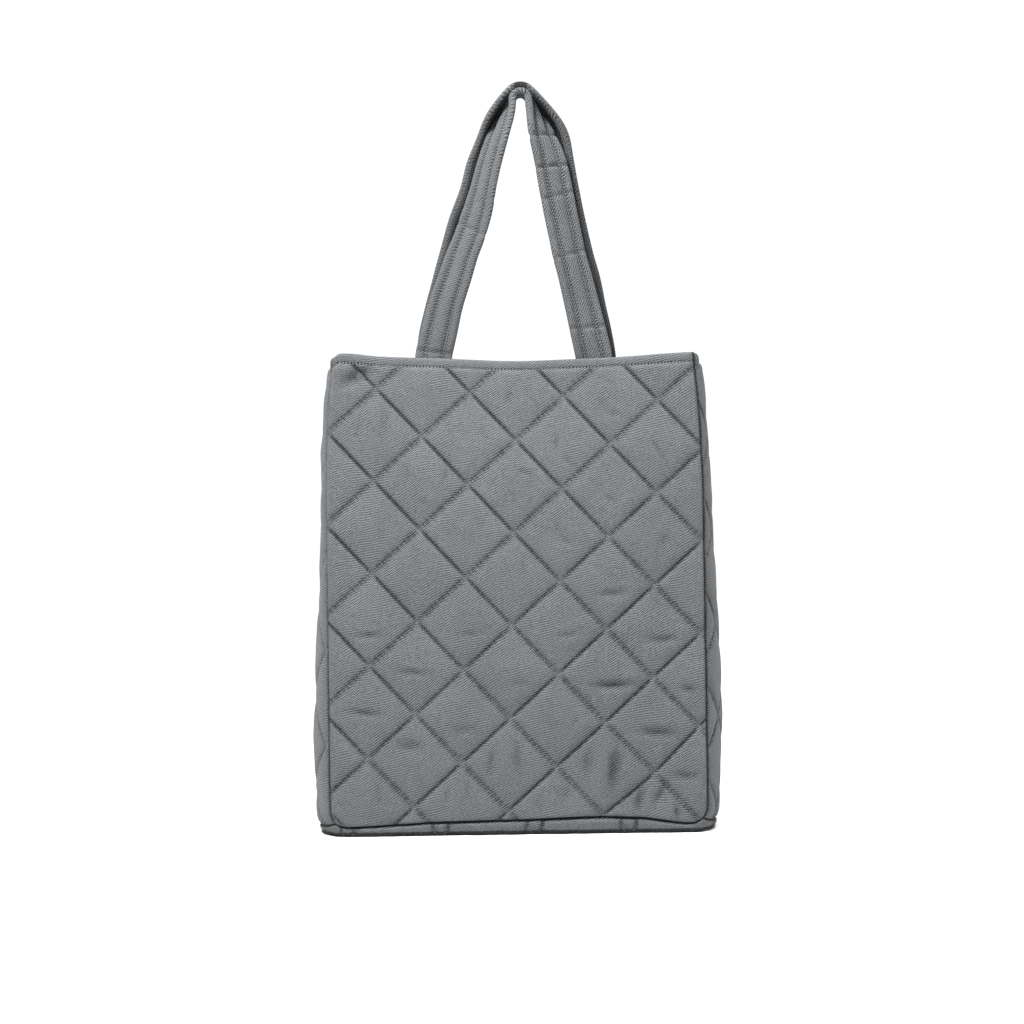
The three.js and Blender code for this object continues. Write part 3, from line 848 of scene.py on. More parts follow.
# Stations of each strap's legs: the share of the way up from the rim to the fold, how far out the left and
# the right leg lie as shares of their spread at the rim, how far off mid-depth as a share of that at the rim,
# and how far the left and the right leg are turned, in degrees.
FRONT_LEGS = (
    (0.1, 0.926, 0.913, 0.95, 10, 12),
    (0.2, 0.846, 0.819, 0.89, 20, 20),
    (0.31, 0.725, 0.711, 0.82, 26, 25),
    (0.4, 0.628, 0.613, 0.76, 31, 27),
    (0.45, 0.56, 0.573, 0.723, 33, 27),
    (0.55, 0.45, 0.489, 0.65, 37, 26),
    (0.66, 0.357, 0.405, 0.57, 49, 26),
    (0.77, 0.266, 0.315, 0.48, 52, 32),
    (0.87, 0.162, 0.19, 0.35, 58, 48),
    (0.95, 0.064, 0.1, 0.15, 70, 68),
)
BACK_LEGS = (
    (0.1, 0.963, 0.935, 0.95, 4, 4),
    (0.2, 0.885, 0.846, 0.89, 16, 10),
    (0.31, 0.799, 0.764, 0.82, 32, 20),
    (0.4, 0.739, 0.672, 0.76, 45, 28),
    (0.55, 0.643, 0.557, 0.65, 66, 40),
    (0.66, 0.54, 0.492, 0.57, 80, 49),
    (0.77, 0.455, 0.446, 0.48, 87, 58),
    (0.87, 0.285, 0.38, 0.35, 79, 64),
    (0.95, 0.165, 0.2, 0.15, 80, 72),
)

PATH_SAMPLES = 4001

# The front strap's creases: the leg, -1 for the left one, the height, the depth as a share and the slant.
FRONT_CREASES = (
    (-1, 426, 0.8, 0.1),
    (-1, 536, 0.5, -0.2),
    (-1, 560, 0.25, 0.3),
    (1, 447, 0.5, -0.1),
    (1, 512, 0.35, 0.1),
    (1, 566, 0.4, 0.15),
    (1, 592, 0.6, 0.0),
    (1, 620, 0.6, 0.05),
)


@dataclass
class Strap:
    """A padded shoulder strap of three stuffed channels, from one sewn end over the fold to the other.

    Sizes are in millimetres. The legs and creases are tables. Beside the strap that lies before it, this one
    gets painted shade.
    """

    name: str
    legs: tuple[tuple[float, ...], ...]
    side: int
    spacing: float
    shift: float
    radius: float
    arc: float
    creases: tuple[tuple[int, float, float, float], ...] = ()
    before: "Strap | None" = None
    width: float = 32.6
    thickness: float = 7.4
    drop: float = 235
    clearance: float = 0.6
    tab_length: float = 26
    tab_thickness: float = 4
    apex_shift: float = 10
    channel: float = 7.6
    edge_rounding: float = 4.2
    groove: float = 0.9
    groove_breadth: float = 2.1
    pucker: float = 0.2
    pucker_breadth: float = 2.2
    pucker_stretch: float = 1.5
    pucker_lengths: tuple[float, float] = (4, 11)
    swell: float = 0.08
    swell_lengths: tuple[float, float] = (22, 80)
    crease_breadth: float = 1.3
    # Painted shade on this strap beside the edges of the strap before it.
    painted_shade_heights: tuple[float, float] = (570, 620)
    shades: tuple[float, float] = (0.75, 1.1)
    painted_shade_reaches: tuple[float, float] = (2.2, 3.2)
    stitch_lift: float = 0.15
    ring_step: float = 1.5
    around: int = 26
    seed: int = SEED

    def stations(self) -> tuple[Array, Array, Array]:
        """Places, turns and thicknesses along the strap."""
        found: list[tuple[Array, float, float]] = self.leg(-1)
        top = BAG.body_height + self.drop
        for share in (-1, -0.5, 0, 0.5, 1):
            angle = math.radians(share * self.arc)
            x = self.apex_shift + self.radius * math.sin(angle)
            place = np.array([x, 0, top + self.radius * math.cos(angle)])
            found.append((place, self.side * math.pi / 2, self.thickness))
        found += [(place, turn + self.side * math.pi, thick) for place, turn, thick in reversed(self.leg(1))]
        places, turns, thick = zip(*found)
        return np.array(places), np.array(turns), np.array(thick)

    def flat(self, x: float, z: float) -> float:
        """How far back the panel's inner face lies at a place of the front view."""
        u = np.array(-self.side * x / float(BAG.half_width(1.0, BAG.wall)))
        low = BAG.seam_height(u)
        v = (z - low) / (BAG.rim_height(u) - low)
        return -self.side * float(BAG.panel(u, v, BAG.wall)[1])

    def leg(self, hand: int) -> list[tuple[Array, float, float]]:
        """Stations of one leg from its sewn end up.

        Args:
            hand: -1 for the left leg and 1 for the right one.

        Returns:
            Each station's place, turn and thickness.
        """
        sewn = self.shift + hand * self.spacing / 2
        rim = float(BAG.rim_height(np.array(-self.side * sewn / float(BAG.half_width(1.0, BAG.wall)))))
        off = self.clearance + self.tab_thickness / 2
        found = []
        for share in (1, 0.5, 0):
            z = rim - share * self.tab_length
            slope = (self.flat(sewn + 1, z) - self.flat(sewn - 1, z)) / 2
            place = np.array([sewn, self.flat(sewn, z) - self.side * off, z])
            found.append((place, math.atan(slope), self.tab_thickness))
        foot, foot_turn, _ = found[2]
        top = BAG.body_height + self.drop
        for up, left, right, inset, left_turn, right_turn in self.legs:
            spread, turned = (left, left_turn) if hand < 0 else (right, right_turn)
            reach = abs(sewn - self.apex_shift) - self.radius
            x = self.apex_shift + hand * (self.radius + reach * spread)
            place = np.array([x, foot[1] * inset, foot[2] + (top - foot[2]) * up])
            turn = foot_turn * (1 - up) - hand * self.side * math.radians(turned)
            found.append((place, turn, self.thickness))
        return found

    def path(self) -> tuple[Array, Array, Array]:
        """The strap's middle line.

        Returns:
            Its points, its directions and each point's share of the stations.
        """
        places, _, _ = self.stations()
        first, last = 2 * places[0] - places[1], 2 * places[-1] - places[-2]
        p = np.vstack([first, places, last])
        count = len(places) - 1
        t = np.linspace(0, 1, PATH_SAMPLES)
        i = np.minimum((t * count).astype(int), count - 1)
        w = t * count - i
        p0, p1, p2, p3 = p[i], p[i + 1], p[i + 2], p[i + 3]
        spans = ((p0, p1), (p1, p2), (p2, p3))
        d0, d1, d2 = (np.sum((b - a) ** 2, axis=1)[:, None] ** 0.25 for a, b in spans)
        m1 = ((p1 - p0) / d0 - (p2 - p0) / (d0 + d1) + (p2 - p1) / d1) * d1
        m2 = ((p2 - p1) / d1 - (p3 - p1) / (d1 + d2) + (p3 - p2) / d2) * d1
        w = w[:, None]
        line = p1 * (2 * w**3 - 3 * w**2 + 1) + m1 * (w**3 - 2 * w**2 + w)
        line = line + p2 * (3 * w**2 - 2 * w**3) + m2 * (w**3 - w**2)
        gone = np.concatenate([[0], np.cumsum(np.linalg.norm(np.diff(line, axis=0), axis=1))])
        rings = int(gone[-1] / self.ring_step)
        even = np.linspace(0, gone[-1], rings + 1)
        share = np.interp(even, gone, t)
        points = np.stack([np.interp(even, gone, line[:, n]) for n in range(3)], axis=1)
        ways = np.gradient(points, axis=0)
        return points, ways / np.linalg.norm(ways, axis=1, keepdims=True), share

    def frames(self) -> tuple[Array, Array, Array, Array]:
        """Middle points, width directions, facings and thicknesses of the strap's rings."""
        points, ways, share = self.path()
        _, turns, thick = self.stations()
        keys = np.linspace(0, 1, len(turns))
        keyed = Table(("at", "turn", "thickness"), tuple(zip(keys, turns, thick)))
        turn = keyed.read("turn", share)
        across = np.stack([np.cos(turn), np.sin(turn), np.zeros_like(turn)], axis=1)
        across -= ways * np.sum(across * ways, axis=1, keepdims=True)
        across /= np.linalg.norm(across, axis=1, keepdims=True)
        return points, across, np.cross(across, ways), keyed.read("thickness", share)

    def profile(self, across: Array) -> Array:
        """The rise of one face of the strap over its width, as a share of half its thickness."""
        far = np.abs(across) * self.width / 2
        over = np.clip((far - self.width / 2 + self.edge_rounding) / self.edge_rounding, 0, 1)
        edge = np.sqrt(np.clip(1 - over**2, 0, 1))
        groove = 1 - self.groove * np.exp(-((far - self.channel) ** 2) / (2 * self.groove_breadth**2))
        return edge * groove

    def rise(self, across: Array, along: Array, face: int) -> Array:
        """A face's rise with its creases and puckers.

        Args:
            across: places over the width, from -1 to 1.
            along: places along the strap, in millimetres.
            face: 0 for the outer face and 1 for the other.

        Returns:
            Shares of half the thickness.
        """
        far = across * self.width / 2
        rise_here = self.profile(across)
        near = np.exp(-((np.abs(far) - self.channel) ** 2) / (2 * self.pucker_breadth**2))
        puckers = waves(along, far * self.pucker_stretch, *self.pucker_lengths, self.seed + face)
        rise_here = rise_here * (1 + self.pucker * near * puckers)
        swells = waves(along, far, *self.swell_lengths, self.seed + 3 + face)
        rise_here = rise_here * (1 + self.swell * swells)
        spread = 2 * self.crease_breadth**2
        for at, depth, slant in self.crease_places:
            rise_here = rise_here * (1 - depth * np.exp(-(((along - at) - slant * far) ** 2) / spread))
        return rise_here

    @cached_property
    def crease_places(self) -> list[tuple[float, float, float]]:
        """How far along the strap each crease lies, with its depth and slant."""
        points, _, _ = self.path()
        peak = int(np.argmax(points[:, 2]))
        found = []
        for hand, height, depth, slant in self.creases:
            ring = np.arange(peak) if hand < 0 else np.arange(peak, len(points))
            nearest = float(ring[np.argmin(np.abs(points[ring, 2] - height))])
            found.append((nearest * self.ring_step, depth, slant))
        return found

    def build(self, finish: "Finish") -> bpy.types.Object:
        """Builds and dresses the strap, in place of its solid."""
        points, across, out, thick = self.frames()
        along = np.arange(len(points)) * self.ring_step
        angle = np.linspace(0, math.pi, self.around, endpoint=False)
        half = -np.cos(angle)
        span = np.concatenate([half, -half])
        face = np.concatenate([np.ones(self.around), -np.ones(self.around)])
        grid_s, grid_a = np.meshgrid(span, along)
        rises = np.where(face > 0, self.rise(grid_s, grid_a, 0), -self.rise(grid_s, grid_a, 1))
        place = points[:, None] + across[:, None] * (span * self.width / 2)[None, :, None]
        place = place + out[:, None] * (rises * thick[:, None] / 2)[..., None]
        ring, rows = len(span), len(points)
        n = np.arange(rows - 1)[:, None] * ring
        k, following = np.arange(ring)[None], ((np.arange(ring) + 1) % ring)[None]
        quads = np.stack([n + k, n + following, n + following + ring, n + k + ring], axis=-1).reshape(-1, 4)
        faces = [tuple(quad) for quad in quads.tolist()]
        faces += [tuple(range(ring))[::-1], tuple(range((rows - 1) * ring, rows * ring))]
        girth = np.where(face > 0, span, 2 - span) * self.width / 2
        flat = np.stack(np.broadcast_arrays(girth[None, :], along[:, None]), axis=-1).reshape(-1, 2)
        place = place.reshape(-1, 3)
        # The "shade" map carries painted shade beside the strap before this one.
        maps = {"cloth": flat * MM, "shade": self.painted_shade(place)}
        body = mesh_object(self.name, place, faces, maps)
        return dressed(body, finish, self.name)

    def outline(self, hand: int) -> tuple[Array, Array]:
        """Heights of a leg's rings, going up, and how far out its outer edge is at each."""
        points, across, _, _ = self.frames()
        peak = int(np.argmax(points[:, 2]))
        ring = np.arange(peak) if hand < 0 else np.arange(len(points) - 1, peak, -1)
        return points[ring, 2], hand * points[ring, 0] + np.abs(across[ring, 0]) * self.width / 2

    def painted_shade(self, points: Array) -> Array:
        """Painted shade beside the edges of the strap that lies before this one, as two shares."""
        shade = np.zeros((len(points), 2))
        if self.before is None:
            return shade
        for hand in (-1, 1):
            heights, edge = self.before.outline(hand)
            off = hand * points[:, 0] - np.interp(points[:, 2], heights, edge)
            on_leg = hand * (points[:, 0] - self.apex_shift) > 0
            most = np.interp(points[:, 2], self.painted_shade_heights, self.shades)
            reach = np.interp(points[:, 2], self.painted_shade_heights, self.painted_shade_reaches)
            shade[:, 0] = np.where(on_leg, most * bell(off - 1, reach), shade[:, 0])
        return shade

    def stitches(self) -> list[tuple[Array, Array]]:
        """Paths of the strap's two rows of stitching on both faces, with the faces' directions."""
        points, across, out, thick = self.frames()
        along = np.arange(len(points)) * self.ring_step
        found = []
        for hand in (-1, 1):
            for face in (0, 1):
                way = 1 - 2 * face
                share = np.full(len(points), hand * self.channel * 2 / self.width)
                lift = self.rise(share, along, face) * thick / 2 + self.stitch_lift
                row = points + across * (share * self.width / 2)[:, None] + way * out * lift[:, None]
                found.append((row, way * out))
        return found


def linked(name: str, data: bpy.types.ID) -> bpy.types.Object:
    """Makes an object and puts it in the scene."""
    made = bpy.data.objects.new(name, data)
    bpy.context.scene.collection.objects.link(made)
    return made


def mesh_object(name: str, points: Array, faces: list, maps: dict[str, Array]) -> bpy.types.Object:
    """Makes an object of a closed piece of cloth.

    Args:
        name: its name.
        points: its points in millimetres.
        faces: its faces, as indices.
        maps: UV maps by name, with a place for each point.

    Returns:
        The object, with its place in its mesh.
    """
    mesh = bpy.data.meshes.new(name)
    mesh.from_pydata((points * MM).tolist(), [], faces)
    work = bmesh.new()
    work.from_mesh(mesh)
    bmesh.ops.recalc_face_normals(work, faces=work.faces[:])
    work.to_mesh(mesh)
    work.free()
    corners = np.zeros(len(mesh.loops), dtype=np.int32)
    mesh.loops.foreach_get("vertex_index", corners)
    for title, values in maps.items():
        layer = mesh.uv_layers.new(name=title)
        layer.data.foreach_set("uv", values[corners].astype(np.float32).ravel())
    mesh.shade_smooth()
    mesh.set_sharp_from_angle(angle=math.radians(70))
    return linked(name, mesh)


def dressed(body: bpy.types.Object, finish: "Finish", node: str) -> bpy.types.Object:
    """Gives a padded piece its cloth and puts it in place of its solid."""
    body.name = node + "_cloth"
    body.data.materials.append(finish.material())
    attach(body, "root")
    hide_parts(node)
    return body


class Nodes:
    """Adds nodes to a tree and links them."""

    def __init__(self, tree: bpy.types.NodeTree) -> None:
        """Starts on a tree."""
        self.tree = tree

    def add(self, kind: str, **settings: object) -> bpy.types.Node:
        """Adds a node and sets its properties."""
        node = self.tree.nodes.new(kind)
        for name, value in settings.items():
            setattr(node, name, value)
        return node

    def feed(self, socket: Socket, value: object) -> None:
        """Links a socket to an output, or sets it to a value."""
        if isinstance(value, Socket):
            self.tree.links.new(value, socket)
        else:
            socket.default_value = value

    def fed(self, kind: str, values: dict[str, object], **settings: object) -> bpy.types.Node:
        """Adds a node, sets its properties and feeds its inputs by name."""
        node = self.add(kind, **settings)
        for name, value in values.items():
            self.feed(node.inputs[name], value)
        return node

    def math(self, operation: str, *values: object) -> Socket:
        """A Math node's output."""
        node = self.add("ShaderNodeMath", operation=operation)
        for socket, value in zip(node.inputs, values):
            self.feed(socket, value)
        return node.outputs[0]

    def times(self, a: object, b: object) -> Socket:
        """A product."""
        return self.math("MULTIPLY", a, b)

    def less(self, a: object, b: object) -> Socket:
        """A difference."""
        return self.math("SUBTRACT", a, b)

    def held(self, a: object, b: float, c: float) -> Socket:
        """a times b plus c, held from 0 to 1."""
        found = self.math("MULTIPLY_ADD", a, b, c)
        found.node.use_clamp = True
        return found

    def bell(self, off: object, reach: object) -> Socket:
        """1 on a line, falling to 0 past a reach."""
        far = self.math("DIVIDE", off, reach)
        return self.math("EXPONENT", self.times(self.times(far, far), -1.0))

    def parts(self, vector: object) -> tuple[Socket, ...]:
        """A vector's three numbers."""
        node = self.add("ShaderNodeSeparateXYZ")
        self.feed(node.inputs[0], vector)
        return tuple(node.outputs)

    def noise(self, place: object, scale: float, detail: float = 2.0, kind: str = "3D") -> Socket:
        """A noise texture's value.

        Args:
            place: where it is read.
            scale: its repeats for each metre.
            detail: how many finer layers it has.
            kind: its dimensions.

        Returns:
            The value's output.
        """
        values = {"Vector": place, "Scale": scale, "Detail": detail}
        return self.fed("ShaderNodeTexNoise", values, noise_dimensions=kind).outputs["Fac"]

    def mix(self, share: object, a: object, b: object) -> Socket:
        """A colour mixed from two."""
        node = self.add("ShaderNodeMix", data_type="RGBA")
        for name, value in (("Factor_Float", share), ("A_Color", a), ("B_Color", b)):
            self.feed(next(s for s in node.inputs if s.identifier == name), value)
        return next(s for s in node.outputs if s.identifier == "Result_Color")

    def group(self, tree: bpy.types.NodeTree, **values: object) -> bpy.types.Node:
        """Adds a node group and feeds its inputs."""
        return self.fed("ShaderNodeGroup", values, node_tree=tree)


def new_material(name: str) -> tuple[bpy.types.Material, Nodes, bpy.types.Node]:
    """Starts a material: itself, its node maker and its shader."""
    material = bpy.data.materials.new(name)
    material.use_nodes = True
    return material, Nodes(material.node_tree), material.node_tree.nodes["Principled BSDF"]


def shader_group(
    name: str, inputs: Sequence[str], outputs: Sequence[str]
) -> tuple[bpy.types.NodeTree, Nodes, dict[str, Socket], dict[str, Socket]]:
    """Starts a shader node group.

    Args:
        name: the group's name.
        inputs, outputs: its sockets' names. All are numbers, but for the first input, a vector.

    Returns:
        The group, its node maker, its input sockets and its output sockets, by name.
    """
    tree = bpy.data.node_groups.new(name, "ShaderNodeTree")
    for title in inputs:
        kind = "NodeSocketVector" if title == inputs[0] else "NodeSocketFloat"
        tree.interface.new_socket(title, in_out="INPUT", socket_type=kind)
    for title in outputs:
        tree.interface.new_socket(title, in_out="OUTPUT", socket_type="NodeSocketFloat")
    nodes = Nodes(tree)
    start, end = nodes.add("NodeGroupInput"), nodes.add("NodeGroupOutput")
    return tree, nodes, {t: start.outputs[t] for t in inputs}, {t: end.inputs[t] for t in outputs}


def twill_group() -> bpy.types.NodeTree:
    """Slanting ribs of woven yarn, crossed by finer ones, whose slant drifts over the cloth."""
    if "twill" in bpy.data.node_groups:
        return bpy.data.node_groups["twill"]
    tree, nodes, given, out = shader_group("twill", ("Place", "Pitch", "Wander"), ("Yarn",))
    x, y, _ = nodes.parts(given["Place"])
    drift = nodes.noise(given["Place"], 80.0, 3.0, "2D")
    sway = nodes.times(nodes.less(drift, 0.5), given["Wander"])
    turn = nodes.held(nodes.noise(given["Place"], 28.0, kind="2D"), 5.0, -2.0)

    def ribs(pitch: float, slant: float) -> Socket:
        """One set of ribs, by its pitch as a share of the twill's and its slant in degrees."""
        way = math.radians(slant)
        over = nodes.times(y, math.cos(way) / pitch)
        over = nodes.math("MULTIPLY_ADD", x, -math.sin(way) / pitch, over)
        phase = nodes.math("ADD", nodes.math("DIVIDE", over, given["Pitch"]), sway)
        return nodes.math("SINE", nodes.times(phase, math.tau))

    flat, steep = ribs(1.0, 11), ribs(0.985, 29)
    main = nodes.math("ADD", flat, nodes.times(turn, nodes.less(steep, flat)))
    crossing = nodes.math("ADD", ribs(0.77, 44), ribs(0.72, -41))
    nodes.feed(out["Yarn"], nodes.math("MULTIPLY_ADD", crossing, 0.55, nodes.times(main, 0.8)))
    return tree


def pucker_group() -> bpy.types.NodeTree:
    """Short gathers across the quilting's lines, for bumps and painted light and shade, and a mask of painted
    shade in the lines.

    The painted shade is thin and dark for falling lines above and for rising lines below, and wide and pale
    elsewhere.
    """
    if "pucker" in bpy.data.node_groups:
        return bpy.data.node_groups["pucker"]
    inputs = ("Quilt", "Up", "Side", "Pitch", "Reach")
    tree, nodes, given, out = shader_group("pucker", inputs, ("Gather", "Line"))
    p, q, _ = nodes.parts(given["Quilt"])
    offs = [nodes.times(nodes.math("PINGPONG", share, 0.5), given["Side"]) for share in (p, q)]
    upper = nodes.held(given["Up"], 3.2, -0.95)
    gathers, lines = [], []
    for off, other, along, sharp in zip(offs, offs[::-1], (q, p), (upper, nodes.less(1.0, upper))):
        values = {"W": nodes.times(along, 14.0), "Scale": 1.0}
        noise = nodes.fed("ShaderNodeTexNoise", values, noise_dimensions="1D")
        run = nodes.math("DIVIDE", nodes.times(along, given["Side"]), given["Pitch"])
        run = nodes.math("MULTIPLY_ADD", noise.outputs[0], 1.6, run)
        wave = nodes.times(nodes.math("SINE", nodes.times(run, math.tau)), nodes.bell(off, given["Reach"]))
        clear = nodes.less(1.0, nodes.times(nodes.bell(other, 0.004), 0.8))
        wave = nodes.times(wave, clear)
        gathers.append(nodes.times(wave, nodes.math("MULTIPLY_ADD", sharp, -0.6, 1.0)))
        # Painted shade in the line's groove.
        thin = nodes.times(nodes.bell(off, 0.0013), sharp)
        wide = nodes.times(nodes.bell(off, 0.0026), nodes.math("MULTIPLY_ADD", sharp, -0.5, 0.5))
        lines.append(nodes.times(nodes.math("ADD", thin, wide), clear))
    nodes.feed(out["Gather"], nodes.math("ADD", *gathers))
    nodes.feed(out["Line"], nodes.math("MAXIMUM", *lines))
    return tree


def seam_group() -> bpy.types.NodeTree:
    """Painted shade in the needle holes along a row of stitching, and a mask of the cloth before it."""
    if "seam" in bpy.data.node_groups:
        return bpy.data.node_groups["seam"]
    inputs = ("Place", "Row", "Pitch", "Breadth")
    tree, nodes, given, out = shader_group("seam", inputs, ("HoleShade", "Before"))
    along, across, _ = nodes.parts(given["Place"])
    off = nodes.less(given["Row"], across)
    run = nodes.times(nodes.math("DIVIDE", along, given["Pitch"]), math.tau)
    wave = nodes.math("MULTIPLY_ADD", nodes.math("COSINE", run), -0.6, 0.6)
    nodes.feed(out["HoleShade"], nodes.times(nodes.bell(off, given["Breadth"]), wave))
    nodes.feed(out["Before"], nodes.held(off, 400.0, 0.0))
    return tree


@dataclass(frozen=True)
class Finish:
    """Grey twill over wadding. Lengths are in metres, and shades are shares of the cloth's light and dark."""

    name: str
    slot: str
    fill: float
    colour: tuple[float, float, float] = (0.0776, 0.0819, 0.0861)
    pitch: float = 0.00203
    turn: float = 0.0
    wander: float = 1.0
    contrast: float = 0.34
    spread: float = 0.9
    row: float = BAG.cloth_height * MM - 0.008
    row_breadth: float = 0.0008
    # Painted shade in the needle holes along the row of stitching.
    hole_shadow_paint: float = 0.8
    quilted: bool = True
    half_width: float = 0.0
    # Height over the floor under which the cloth gets a painted contact shadow.
    contact_shadow_height: float = 0.0
    side: float = 0.0581
    stitch_pitch: float = 0.003
    gather: float = 0.0003
    gather_pitch: float = 0.0045
    gather_reach: float = 0.003
    # Painted light and shade on the gathers.
    gather_light_paint: float = 0.12
    # Painted shade in the quilting's grooves.
    groove_shadow_paint: float = 0.6
    # Painted shade along the seams and in the folds.
    seam_shadow_paint: float = 1.1
    fold_shadow_paint: float = 0.32
    fuzz_scale: float = 620.0
    fuzz_shade: float = 0.7
    wear_scale: float = 22.0
    wear_detail: float = 5.0
    wear_shade: float = 0.2
    weave: float = 0.00012
    roughness: float = 0.92
    sheen: float = 0.08
    gloss: float = 0.25

    def material(self) -> bpy.types.Material:
        """The material, made once."""
        if self.name in bpy.data.materials:
            return bpy.data.materials[self.name]
        material, nodes, shader = new_material(self.name)
        cloth = nodes.add("ShaderNodeUVMap", uv_map="cloth").outputs[0]
        place = nodes.add("ShaderNodeTexCoord").outputs["Object"]
        yarn, grain = self.woven(nodes, cloth), nodes.less(nodes.noise(place, self.fuzz_scale), 0.5)
        wear = nodes.less(nodes.noise(place, self.wear_scale, self.wear_detail), 0.5)
        shade = nodes.math("MULTIPLY_ADD", yarn, self.contrast, 0.5)
        shade = nodes.math("ADD", shade, nodes.times(grain, self.fuzz_shade))
        shade = nodes.math("ADD", shade, nodes.times(wear, self.wear_shade))
        height = nodes.times(nodes.math("ADD", yarn, grain), self.weave)
        shade, height = self.sewn(nodes, cloth, shade, height)
        # Painted shade along the seams and in the folds, read from the "shade" map.
        seams, folds, _ = nodes.parts(nodes.add("ShaderNodeUVMap", uv_map="shade").outputs[0])
        shade = nodes.less(shade, nodes.times(seams, self.seam_shadow_paint))
        shade = nodes.less(shade, nodes.times(folds, self.fold_shadow_paint))
        # Painted contact shadow: the cloth darkens below a set height over the floor.
        if self.contact_shadow_height:
            steep = 700.0
            shade = nodes.less(shade, nodes.held(nodes.parts(place)[2], -steep, steep * self.contact_shadow_height))
        dark = tuple(part * (1 - self.spread) for part in self.colour)
        light = tuple(part * (1 + self.spread) for part in self.colour)
        colour = nodes.mix(nodes.math("MAXIMUM", shade, 0.0), (*dark, 1), (*light, 1))
        values = {
            "Base Color": colour,
            "Normal": nodes.fed("ShaderNodeBump", {"Height": height, "Distance": 1.0}).outputs[0],
            "Roughness": self.roughness,
            "Sheen Weight": self.sheen,
            "Specular IOR Level": self.gloss,
        }
        for title, value in values.items():
            nodes.feed(shader.inputs[title], value)
        return material

    def woven(self, nodes: Nodes, cloth: Socket) -> Socket:
        """The rise and fall of the yarn, from the cloth's own map."""
        values = {"Vector": cloth, "Angle": -math.radians(self.turn)}
        turned = nodes.fed("ShaderNodeVectorRotate", values, rotation_type="Z_AXIS")
        weave = nodes.group(twill_group(), Place=turned.outputs[0], Pitch=self.pitch, Wander=self.wander)
        return weave.outputs["Yarn"]

    def sewn(self, nodes: Nodes, cloth: Socket, shade: Socket, height: Socket) -> tuple[Socket, Socket]:
        """Adds what the stitching does to the cloth.

        Args:
            nodes: the material's node maker.
            cloth: the cloth's own map.
            shade, height: the plain cloth's shade and its rise in metres.

        Returns:
            The sewn cloth's shade and its rise.
        """
        x, y, _ = nodes.parts(cloth)
        run, off = (y, nodes.math("PINGPONG", x, self.half_width)) if self.half_width else (x, y)
        place = nodes.fed("ShaderNodeCombineXYZ", {"X": run, "Y": off})
        sizes = {"Row": self.row, "Pitch": self.stitch_pitch, "Breadth": self.row_breadth}
        seam = nodes.group(seam_group(), Place=place.outputs[0], **sizes)
        # Painted shade in the needle holes along the row.
        shade = nodes.less(shade, nodes.times(seam.outputs["HoleShade"], self.hole_shadow_paint))
        if self.quilted:
            quilt = nodes.add("ShaderNodeUVMap", uv_map="quilt").outputs[0]
            up = nodes.math("MULTIPLY_ADD", x, -SLANT, nodes.math("DIVIDE", y, self.row))
            sizes = {"Side": self.side, "Pitch": self.gather_pitch, "Reach": self.gather_reach}
            pucker = nodes.group(pucker_group(), Quilt=quilt, Up=up, **sizes)
            # Painted shade in the quilting's grooves.
            line = nodes.times(pucker.outputs["Line"], seam.outputs["Before"])
            gather = nodes.times(pucker.outputs["Gather"], seam.outputs["Before"])
            shade = nodes.less(shade, nodes.times(line, self.groove_shadow_paint))
            # Painted light and shade on the gathers, which follow their bumps.
            shade = nodes.math("ADD", shade, nodes.times(gather, self.gather_light_paint))
            height = nodes.math("ADD", height, nodes.times(gather, self.gather))
        return shade, height


@dataclass(frozen=True)
class Thread:
    """Grey sewing thread."""

    name: str = "thread"
    colour: tuple[float, float, float] = (0.17, 0.178, 0.187)
    roughness: float = 0.6

    def material(self) -> bpy.types.Material:
        """The material, made once."""
        if self.name in bpy.data.materials:
            return bpy.data.materials[self.name]
        material, nodes, shader = new_material(self.name)
        twist = nodes.noise(nodes.add("ShaderNodeTexCoord").outputs["Object"], 900.0)
        deep = tuple(part * 0.6 for part in self.colour)
        nodes.feed(shader.inputs["Base Color"], nodes.mix(twist, (*deep, 1), (*self.colour, 1)))
        shader.inputs["Roughness"].default_value = self.roughness
        return material


